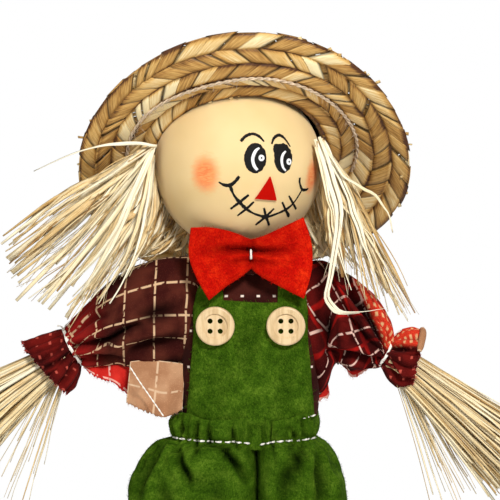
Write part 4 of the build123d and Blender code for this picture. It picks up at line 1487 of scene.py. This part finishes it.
def make_shirt():
    """The shirt's body over the torso's filling, tucked in behind the waistband."""
    turns = np.linspace(0, tau, 120, endpoint=False)
    heights = np.linspace(WAIST_Z + 1, box_mm("shirt_body")[1][2] - 0.4, 44)
    grid = np.array([[round_torso(t, z, 0.05) for t in turns] for z in heights])
    out = unit(grid - [0, 0, 1] * grid)
    tucked = 2.4 * ease(WAISTBAND_TOP - 1.0 - heights, 0, 3.0)
    grid = grid + out * (0.22 * ripple(grid, 11.0, "shirt"))[..., None]
    grid = grid - out * tucked[:, None, None]
    shirt, flat = cloth("shirt_cloth", grid, 0.6, wrap=True)
    dress(shirt, "dots", "torso", "shirt_plaid", "shirt_body")


def make_collar():
    """The shirt's neckband, drawn together under the head."""
    turns = np.linspace(0, tau, 96, endpoint=False)
    profile = [(13.2, 293.2), (15.8, 293.6), (17.2, 295.2), (16.2, 296.8), (13.4, 297.4), (10.6, 297.8)]
    path = smooth_path(profile, 16)
    wave = 1 + 0.05 * np.sin(11 * turns) + 0.03 * np.sin(5 * turns + 1)
    grid = np.stack([path[:, :1] * wave * np.cos(turns), path[:, :1] * wave * np.sin(turns),
                     path[:, 1:] + 0.4 * np.sin(9 * turns)], -1)
    collar, flat = cloth("collar_cloth", grid, 0.5, wrap=True)
    dress(collar, "dots", "torso", "shirt_plaid", "shirt_collar")


def make_loose_thread():
    """The long thread that hangs from the right sleeve's seam."""
    strips = Strips()
    line = [(-46.6, -17, 257.4), (-43, -18.6, 252), (-38.6, -18, 245.6), (-33.6, -18.4, 238.4)]
    thread_path(strips, smooth_path(line, 50), 0.26)
    thread = strips.piece("loose_thread")
    dress(thread, "thread", None, "white_thread")
    follow_arm(thread)


# each hem is a cloth between an upper and a lower edge: points (x, y, z) from its right to its left
HEMS = {
    "tail": ([(-47.0, -8.6, 259), (-40, -8.8, 259.6), (-33, -8.9, 259), (-25.5, -9, 258)],
             [(-48.4, -12.2, 243.4), (-42.0, -12.6, 240.4), (-34.6, -12.8, 237.6), (-26.6, -12.0, 240.0)]),
    "right": ([(-66.4, -1.4, 262.4), (-60, -2.4, 263), (-54, -2.6, 263), (-47.0, -2.6, 262)],
              [(-65.6, -4.4, 256.2), (-59.2, -5.4, 252.2), (-53.6, -5.6, 250.4), (-48.0, -5.8, 245.4)]),
    "left": ([(25.5, -1.5, 256), (28, -2, 258), (29.5, -2.5, 262), (31, -3, 266), (34, -3.6, 269),
              (37, -5, 268), (40.5, -6.6, 265), (44.4, -8.8, 266.5), (47, -10, 268)],
             [(26.4, -2, 243.2), (30.8, -3, 245), (30.0, -3.2, 250.6), (31.0, -3.4, 256), (33.8, -3.8, 258.6),
              (36.8, -5.2, 256.4), (40.1, -6.8, 252.8), (44.4, -9, 255), (47.8, -10.4, 257.6)]),
}


def make_hem(name, edges, side, material, slot, *replaced):
    """A raw-edged strip of cloth that hangs below a sleeve."""
    rows, cols = 22, 40
    upper, lower = (smooth_path(e, cols) for e in edges)
    share = np.linspace(0, 1, rows)[:, None, None]
    grid = upper[None] * (1 - share) + lower[None] * share
    across = np.linspace(0, 1, cols)
    swing = 1.1 if side == "right" else 0.3
    wave = swing * (np.sin(across * tau * 2.2 + 1)[None] * share[..., 0] + 0.45 * ripple(grid, 7.0, name))
    grid[..., 1] += wave
    grid[-1, :, 2] += 0.3 * dice(name).normal(size=cols)
    hem, flat = cloth(name, grid, 0.5)
    dress(hem, material, None, slot, *replaced)
    follow_arm(hem)
    fray = Strips()
    fringe(fray, name, grid[-1], unit(grid[-1] - grid[-3]), np.tile([0, 1.0, 0], (cols, 1)), 150, 1.5)
    thread = "pale_thread" if material == "wrong_side" else "red_thread"
    loose = fray.piece(name + "_fray")
    dress(loose, thread, None, slot)
    follow_arm(loose)


# ---- overalls -----------------------------------------------------------------------------------------
BIB_LOW, BIB_HIGH = 25.2, 20.5  # half widths of the bib at the waist and at its top
STRAP_X, STRAP_W = 15.0, 11.2  # a strap's middle line from the figure's, and its width
FELT = 1.5  # thickness


def felt_slab(name, outer_of, rows, cols, dents=()):
    """A felt panel with a rounded rim, and its flat size in metres. outer_of(r, c, out) gives its points for
    r and c from 0 to 1."""
    rs, cs = np.linspace(0, 1, rows), np.linspace(0, 1, cols)
    rim = np.minimum.outer(np.minimum(rs, 1 - rs) * rows, np.minimum(cs, 1 - cs) * cols)
    soft = 0.5 * (1 - ease(rim, 0, 2.2))
    base = np.array([[outer_of(r, c, 0.35) for c in cs] for r in rs])
    flat = np.array([[outer_of(r, c, FELT + 0.2) for c in cs] for r in rs])
    out = unit(flat - base)
    lumps = 0.22 * ripple(flat, 9.0, name) + 0.08 * ripple(flat, 2.4, name + "fine")
    flat = flat + out * (lumps - soft)[..., None]
    flat, dark = crease(flat, out, dents)
    inner = base + out * (0.5 * soft)[..., None]
    u, v = lengths(flat)
    # painted shade: the felt is a little darker in its dents
    return slab_piece(name, flat, inner, u, v, 0.3 * dark), (u[0, -1] * MM, v[-1, 0] * MM)


def fuzz(name, grid, normals, count, reach=1.1):
    """Short loose fibres that stand off a felt, all over a grid of points."""
    strips = Strips()
    r = dice(name)
    rows, cols = grid.shape[:2]
    for _ in range(count):
        i, j = r.integers(0, rows - 1), r.integers(0, cols - 1)
        a, b = r.random(2)
        here = grid[i, j] * (1 - a) + grid[i + 1, j] * a
        beside = grid[i, j + 1] * (1 - a) + grid[i + 1, j + 1] * a
        root = here * (1 - b) + beside * b
        out = normals[i, j]
        lean = unit(r.normal(size=3))
        lean = unit(lean - out * (lean @ out))
        long = reach * r.uniform(0.5, 1.3)
        way = unit(lean + out * r.uniform(0.15, 0.8))
        path = np.stack([root - out * 0.1, root + way * 0.5 * long, root + (way + 0.3 * lean) * long])
        strips.add(path, np.cross(way, out), 0.045, thick=0.05, crown=0, cols=2, tone=0.0,
                   shift=r.uniform(0, 400, 2))
    return strips.piece(name)


# soft hollows of the bib: see `crease`
BIB_DENTS = [([(0.5, 276), (-1, 266), (-4, 254)], 4.5, 0.9),
             ([(-14, 262), (-13, 250), (-15, 241)], 4.0, 0.7),
             ([(13, 262), (14, 252), (12, 242)], 4.5, 0.7)]


def bib_at(r, c, out):
    """A point of the bib: it goes in behind the waistband at its lower end."""
    low_z = WAIST_Z - 4.0
    z = BIB_TOP - 0.3 - r * (BIB_TOP - low_z) + 0.5 * math.sin(c * pi * 2 + 0.6) * (1 - r)
    half = BIB_HIGH + (BIB_LOW - BIB_HIGH) * r
    point = on_torso((2 * c - 1) * half, max(z, WAIST_Z + 1.0), out)
    return np.array([point[0], point[1] + 1.7 * ease(WAISTBAND_TOP - 1.5 - z, 0, 3.5), z])


def make_bib():
    """The felt bib, with its loose fibres."""
    bib, flat = felt_slab("bib_felt", bib_at, 64, 60, BIB_DENTS)
    soften(bib)
    dress(bib, "green", "torso", "green_felt", "bib")
    cs, rs = np.meshgrid(np.linspace(0, 1, 40), np.linspace(0, 1, 44))
    face = np.array([[bib_at(r, c, FELT + 0.1) for r, c in zip(*row)] for row in zip(rs, cs)])
    dress(fuzz("bib_fuzz", face, to_front(face), 2600), "green", "torso", "green_felt")


def make_strap(side):
    """A strap from under the bib's top, over the shoulder, to the back above the waistband."""
    sign = -1 if side == "right" else 1

    def strap_at(r, c, out):
        turn = math.radians(-22 + r * 202)
        lean = 1.2 * math.sin(r * pi)
        return over_torso(sign * (STRAP_X + lean) + (c - 0.5) * STRAP_W, turn, out - 0.25)

    strap, flat = felt_slab(f"strap_felt_{side}", strap_at, 90, 14)
    dress(strap, "green", "torso", "green_felt", f"strap_{side}")


# the trousers' outlines, downwards: z, both edges' x of the right half and of the left half, and half depth
TROUSERS = [
    (238.6, (-30.0, 2.9), (2.1, 26.4), 21.2),
    (234.5, (-31.4, 2.9), (2.1, 26.8), 21.0),
    (231.0, (-31.2, 2.9), (2.1, 26.2), 19.7),
    (228.6, (-31.6, 2.9), (2.1, 26.6), 19.5),
    (226.0, (-37.6, 2.9), (2.1, 30.4), 20.2),
    (221.5, (-42.8, 2.9), (2.1, 33.8), 20.6),
    (214.0, (-46.4, 2.9), (2.1, 36.4), 20.4),
    (207.0, (-48.2, 2.8), (2.3, 37.8), 20.6),
    (198.0, (-47.4, 1.8), (3.0, 38.0), 20.0),
    (188.0, (-43.6, -3.6), (4.6, 37.0), 19.0),
    (174.0, (-39.4, -6.6), (5.6, 35.4), 17.4),
    (155.0, (-36.6, -7.8), (6.2, 33.6), 15.8),
    (135.0, (-32.6, -9.0), (7.4, 30.4), 12.8),
    (123.0, (-29.0, -12.2), (10.2, 27.0), 9.0),
    (115.5, (-27.4, -13.6), (11.6, 25.4), 7.0),
]
# their folds: see `crease`
TROUSER_FOLDS = {
    "right": [([(-21, 236), (-21.4, 230), (-21, 224)], 0.9, 2.0),
              ([(-28.8, 227), (-27, 220), (-24, 215), (-22.4, 211)], 1.5, 2.8),
              ([(-15, 235), (-15.6, 229), (-15.7, 224.6)], 0.8, 1.6),
              ([(-12.8, 229), (-9, 224), (-5.4, 219.6), (-1, 213)], 1.4, 3.0),
              ([(-34.6, 233), (-38.6, 222.6), (-43, 214.6), (-45, 208)], 2.4, 3.4),
              ([(-6.4, 234), (-6, 229.6), (-4.4, 225)], 0.8, 1.3), ([(-27.4, 237), (-26.6, 232)], 0.9, 1.6),
              ([(-36, 212), (-33, 203), (-34, 194)], 3.0, 1.8),
              ([(-14, 214), (-13, 204), (-9, 195)], 3.0, 1.6)],
    "left": [([(20, 236.4), (20.6, 231), (20.2, 228)], 0.8, 1.9),
             ([(20.2, 228), (19.4, 222.6), (16.4, 218), (13.4, 213), (12.4, 206)], 2.6, 3.2),
             ([(26.6, 224.6), (27.6, 217), (28.4, 210), (27.4, 203)], 2.8, 2.8),
             ([(15.6, 234), (16.8, 230), (16, 226)], 0.8, 1.5),
             ([(9.6, 233), (9, 229), (7.4, 225)], 0.7, 1.2),
             ([(31, 229), (32.6, 222), (33.4, 216)], 1.6, 1.8)],
}
SEAM_X = 2.5  # the middle seam
STITCH_Z = 229.3  # the waistband's running stitches
GATHER_Z, ANKLE_Z = 229.0, 115.0  # where the cloth is drawn together


def trouser_grid(side):
    """A half of the trousers: a tube whose inner side lies flat against the other half."""
    rows, cols = 150, 120
    outlines = [(z, *(right if side == "right" else left), depth) for z, right, left, depth in TROUSERS]
    z, low, high, depth = smooth_path(outlines, rows).T
    turn = np.linspace(0, tau, cols, endpoint=False)
    inner = np.cos(turn) > 0 if side == "right" else np.cos(turn) < 0
    square = 0.45 + 0.55 * ease(200 - z, 0, 22)
    power_x = np.where(inner[None], square[:, None], 0.92)
    power_y = np.where(inner[None], 0.5 + 0.5 * square[:, None], 1.0)
    c, s = np.cos(turn)[None], np.sin(turn)[None]
    x = ((low + high) / 2)[:, None] + ((high - low) / 2)[:, None] * np.sign(c) * np.abs(c) ** power_x
    y = depth[:, None] * np.sign(s) * np.abs(s) ** power_y
    return np.stack([x, y, np.broadcast_to(z[:, None], x.shape)], -1), turn, z


def waist_dip(x):
    """How far the waist's edge and stitches sink in a V over the middle seam."""
    return 3.4 * np.exp(-np.abs(x - SEAM_X) / 5.5) + 0.6 * np.exp(-(((x + 14) / 9.0) ** 2))


def follow_leg(piece):
    """Makes final the mesh of a cloth that reaches from the seat to the leg."""
    cross(piece)


def make_trouser_half(side):
    """A padded half of the trousers with its waist, folds, stitches and loose fibres."""
    fuzzy_rows = 110  # the loose fibres end about halfway down the leg
    grid, turn, z = trouser_grid(side)
    out = outward(grid)
    share = np.linspace(0, 1, len(z))
    inner = (np.cos(turn) > 0.3) if side == "right" else (np.cos(turn) < -0.3)
    free = np.where(inner, 0.15, 1.0)[None]
    near = np.exp(-((z - GATHER_Z) / 11.0) ** 2) + 0.55 * np.exp(-((z - ANKLE_Z) / 12.0) ** 2)
    near = (near * (1 + 0.45 * ease(z, GATHER_Z, GATHER_Z + 4)))[:, None]
    folds = gathers(turn, 0.3 * share, 26, f"trousers {side}", 0.6)
    grid = grid + out * ((folds - 0.7) * near * free * 2.1)[..., None]
    grid = grid + out * (0.8 * ripple(grid, 24.0, f"trousers big {side}") * free)[..., None]
    grid = grid + out * (0.35 * ripple(grid, 8.0, f"trousers mid {side}") * free)[..., None]
    grid = grid + out * (0.10 * ripple(grid, 2.6, f"trousers fine {side}"))[..., None]
    grid, pressed = crease(grid, out, TROUSER_FOLDS[side], 1.8)
    # painted shade: darker in the pressed folds, in the gathers' valleys near the waist and the ankle, and
    # along the middle seam where the two halves meet, fading out between z 215 and 195
    dark = 0.38 * pressed + 0.85 * ease(0.5 - folds, 0, 0.4) * near * free
    dark = dark + 0.8 * np.exp(-(((grid[..., 0] - SEAM_X) / 0.9) ** 2)) * ease(z, 195, 215)[:, None]
    pinch = np.exp(-((z - STITCH_Z) / 1.1) ** 2)[:, None]  # the stitches draw the cloth in
    grid = grid - out * (0.75 * pinch * free)[..., None]
    high = ease(grid[..., 2], 222, 232)
    front = ease(-grid[..., 1], -6, 8)
    grid[..., 2] -= high * (waist_dip(grid[..., 0]) * front)
    grid[..., 2] += ease(z, 233, 238.6)[:, None] * 0.9 * np.sin(5 * turn + 0.5)[None]
    piece, _ = cloth(f"trouser_felt_{side}", grid, 1.2, wrap=True, dark=dark)
    replaced = [f"trouser_leg_{side}"]
    if side == "right":
        replaced += ["trouser_seat", "waistband", "hip_stuffing"]
    dress(piece, "green", None, "green_felt", *replaced)
    follow_leg(piece)
    loose = fuzz(f"trouser_fuzz_{side}", grid[:fuzzy_rows], out[:fuzzy_rows], 4200)
    dress(loose, "green", None, "green_felt")
    follow_leg(loose)
    make_waist_stitches(side, grid, out, z)


def make_waist_stitches(side, grid, out, z):
    """White running stitches that draw the waist together."""
    strips = Strips()
    row = int(np.abs(z - STITCH_Z).argmin())
    line, away = grid[row] + out[row] * 0.15, out[row]
    outside = line[:, 0] < SEAM_X - 1.2 if side == "right" else line[:, 0] > SEAM_X + 1.2
    keep = (line[:, 1] < -6) & outside
    order = np.argsort(line[keep][:, 0])
    line, away = line[keep][order], away[keep][order]
    far = way_along(line)
    r = dice(f"stitch {side}")
    shortest, longest, points = 2.0, 3.0, 9
    at = 0.6
    while at < far[-1] - 2.5:
        long = r.uniform(shortest, longest)
        s = np.linspace(at, at + long, points)
        path = np.stack([np.interp(s, far, line[:, k]) for k in range(3)], -1)
        lift = np.stack([np.interp(s, far, away[:, k]) for k in range(3)], -1)
        hump = np.sin(np.linspace(0, pi, points))[:, None]
        thread_path(strips, path + lift * (0.55 * hump - 0.1), 0.36)
        at += long + r.uniform(0.9, 1.7)
    if side == "left":
        # three stitches at the band's upper edge
        s = np.linspace(0, 1, points)
        for x0, x1, z0 in ((16.4, 19.0, 236.9), (19.9, 22.6, 237.5), (23.4, 25.0, 238.1)):
            y0 = -19.2 + 0.42 * (x0 - 15)
            path = np.stack([x0 + (x1 - x0) * s, y0 - 0.8 * np.sin(pi * s), z0 + 0.5 * s], -1)
            thread_path(strips, path, 0.32)
    stitches = strips.piece(f"waist_stitches_{side}")
    replaced = ["waist_stitching"] if side == "right" else []
    dress(stitches, "thread", "torso", "white_thread", *replaced)


def make_leg_end(side):
    """The raffia foot under an ankle tie, and the gathered cuff round its root."""
    ankle = joint_at(f"ankle_{side}")
    tip = np.array([ankle[0] * 1.05, 0, box_mm(f"foot_{side}")[0][2]])
    rows, cols = 26, 110
    turn = np.linspace(0, tau, cols, endpoint=False)
    share = np.linspace(0, 1, rows)
    radius = np.interp(share, [0, 0.12, 0.5, 1], [7.0, 6.9, 9.4, 12.2])
    folds = gathers(turn, 0.2 * share, 12, f"ankle {side}", 0.7)
    radius = radius[:, None] + (folds - 0.6) * (0.6 + 1.8 * share[:, None])
    z = ankle[2] + 2.2 - share * 17.0
    grid = np.stack([ankle[0] + radius * np.cos(turn), radius * np.sin(turn),
                     z[:, None] + 0.5 * share[:, None] * np.sin(5 * turn)], -1)
    cuff, flat = cloth(f"trouser_cuff_felt_{side}", grid, 1.1, wrap=True)
    dress(cuff, "green", None, "green_felt", f"trouser_cuff_{side}")
    cross(cuff)
    strips = Strips()
    sheaf(strips, f"foot {side}", ankle - [0, 0, 4.0], tip, 5.4, (13.5, 12.5), 240, (0.5, 0.3, 0.95))
    dress(strips.piece(f"foot_raffia_{side}"), "raffia", f"foot_{side}", "raffia",
          f"foot_{side}")


# ---- bow tie ------------------------------------------------------------------------------------------
BOW_Y = box_mm("bow_tie")[0][1]  # the front of the bow
# each wing's edges, as points (x, z): its top and its bottom from the middle outwards, and its outer end
WINGS = {
    "right": ([(0.2, 306.6), (-7.7, 309.7), (-15.3, 311.2), (-23.0, 311.2)],
              [(0.2, 295.2), (-4.4, 291.6), (-9.4, 288.3), (-16.0, 283.0)],
              [(-23.0, 311.2), (-23.8, 301.0), (-21.2, 292.6), (-16.0, 283.0)]),
    "left": ([(0.2, 306.6), (5.0, 308.0), (12.0, 311.2), (20.4, 315.2)],
             [(0.2, 295.2), (4.6, 291.9), (12.4, 287.8), (20.6, 283.6)],
             [(20.4, 315.2), (23.5, 305.0), (23.6, 295.0), (20.6, 283.6)]),
}


def make_bow():
    """The bow: two wings of one felt, drawn together in the middle by a white stitch."""
    rows, cols = 44, 44
    t = np.linspace(0, 1, cols)
    s = np.linspace(0, 1, rows)[:, None]
    halves, shades = [], []
    for side, (top, bottom, end) in WINGS.items():
        top, bottom, end = (smooth_path(e, cols) for e in (top, bottom, end))
        start = top[0] * (1 - s) + bottom[0] * s
        ruled = top[None] * (1 - s[..., None]) + bottom[None] * s[..., None]
        ends = (1 - t)[None, :, None] * start[:, None] + t[None, :, None] * end[:, None]
        corner = (1 - t)[None, :, None] * ruled[:, :1] + t[None, :, None] * ruled[:, -1:]
        flat = ruled + ends - corner
        bulge = 2.4 * np.sin(pi * t**0.8)[None] * np.sin(pi * s)
        groove = 4.0 * np.exp(-(((s - 0.36 - 0.10 * t[None]) / 0.10) ** 2))
        groove = groove * (1 - ease(t, 0.25, 0.95))[None]
        second = 2.2 * np.exp(-(((s - 0.72 + 0.10 * t[None]) / 0.12) ** 2))
        second = second * (1 - ease(t, 0.2, 0.8))[None]
        pinch = 1.6 * np.exp(-((t / 0.10) ** 2))[None]
        y = BOW_Y + 3.0 - bulge + groove + second + pinch - 0.8 * (1 - ease(s, 0, 0.4))
        grid = np.stack([flat[..., 0], y, flat[..., 1]], -1)
        lumps = 0.25 * ripple(grid, 9.0, f"bow {side}")
        grid[..., 1] += lumps + 0.06 * ripple(grid, 2.2, f"bow fine {side}")
        # painted shade: each wing is darker in its grooves, at the pinch in the middle and over its upper
        # part
        upper = 0.22 * (1 - ease(s, 0.3, 0.5)) * (1 - ease(t, 0.75, 1.0))[None]
        shade = np.broadcast_to(0.2 * groove + 0.16 * second + 0.2 * pinch + upper, grid.shape[:2])
        halves.append(grid if side == "left" else grid[:, ::-1])
        shades.append(shade[:, 1:] if side == "left" else shade[:, ::-1])
    outer = np.concatenate([halves[0], halves[1][:, 1:]], 1)
    inner = outer + [0, 1.7, 0]
    from_edge = [np.minimum(np.arange(n), np.arange(n)[::-1]) for n in outer.shape[:2]]
    rim = np.minimum.outer(*from_edge)
    outer[..., 1] += 0.55 * (1 - ease(rim, 0, 2))
    inner[..., 1] -= 0.3 * (1 - ease(rim, 0, 2))
    u, v = lengths(outer)
    bow = slab_piece("bow_felt", outer, inner, u, v, np.concatenate(shades, 1))
    soften(bow)
    dress(bow, "red", "torso", "red_felt", "bow_tie")
    dress(fuzz("bow_fuzz", outer, to_front(outer), 2000, 0.8), "red", "torso", "red_felt")
    strips = Strips()
    z = np.linspace(302.6, 299.0, 9)
    hump = 0.8 * np.sin(np.linspace(0, pi, 9))
    y = outer[rows // 2, cols - 1, 1]
    thread_path(strips, np.stack([0.2 + 0 * z, y - hump - 0.2, z], -1), 0.5)
    dress(strips.piece("bow_thread"), "thread", "torso", "white_thread", "bow_stitch")


make_shirt()
make_collar()
make_hem("shirt_tail", HEMS["tail"], "right", "wrong_side", "shirt_wrong_side", "shirt_tail_right")
make_hem("sleeve_hem_right", HEMS["right"], "right", "red_cloth", "shirt_plaid")
make_hem("sleeve_hem_left", HEMS["left"], "left", "red_cloth", "shirt_plaid")
make_loose_thread()
for side in ("right", "left"):
    make_sleeve(side)
    make_cuff(side)
    make_wrist_tie(side)
make_bib()
make_strap("right")
make_strap("left")
for side in ("right", "left"):
    make_trouser_half(side)
    make_leg_end(side)
make_bow()


# ---- CAD nodes that keep their shape ------------------------------------------------------------------
def finish_nodes(material, *names):
    """Gives CAD nodes one of the materials."""
    for name in names:
        nodes[name].data.materials.clear()
        nodes[name].data.materials.append(materials[material])


finish_nodes("stake", "stake")
finish_nodes("thread", "stake_tie", "neck_tie", "ankle_tie_right", "ankle_tie_left")
finish_nodes("button", "button_right", "button_left")
finish_nodes("red", "nose")
finish_nodes("glue", "glue_bead")
finish_nodes("foam", "head_ball")
finish_nodes("stuffing", "torso_stuffing")
finish_nodes("core", "arm_core_right", "arm_core_left", "leg_core_right", "leg_core_left")
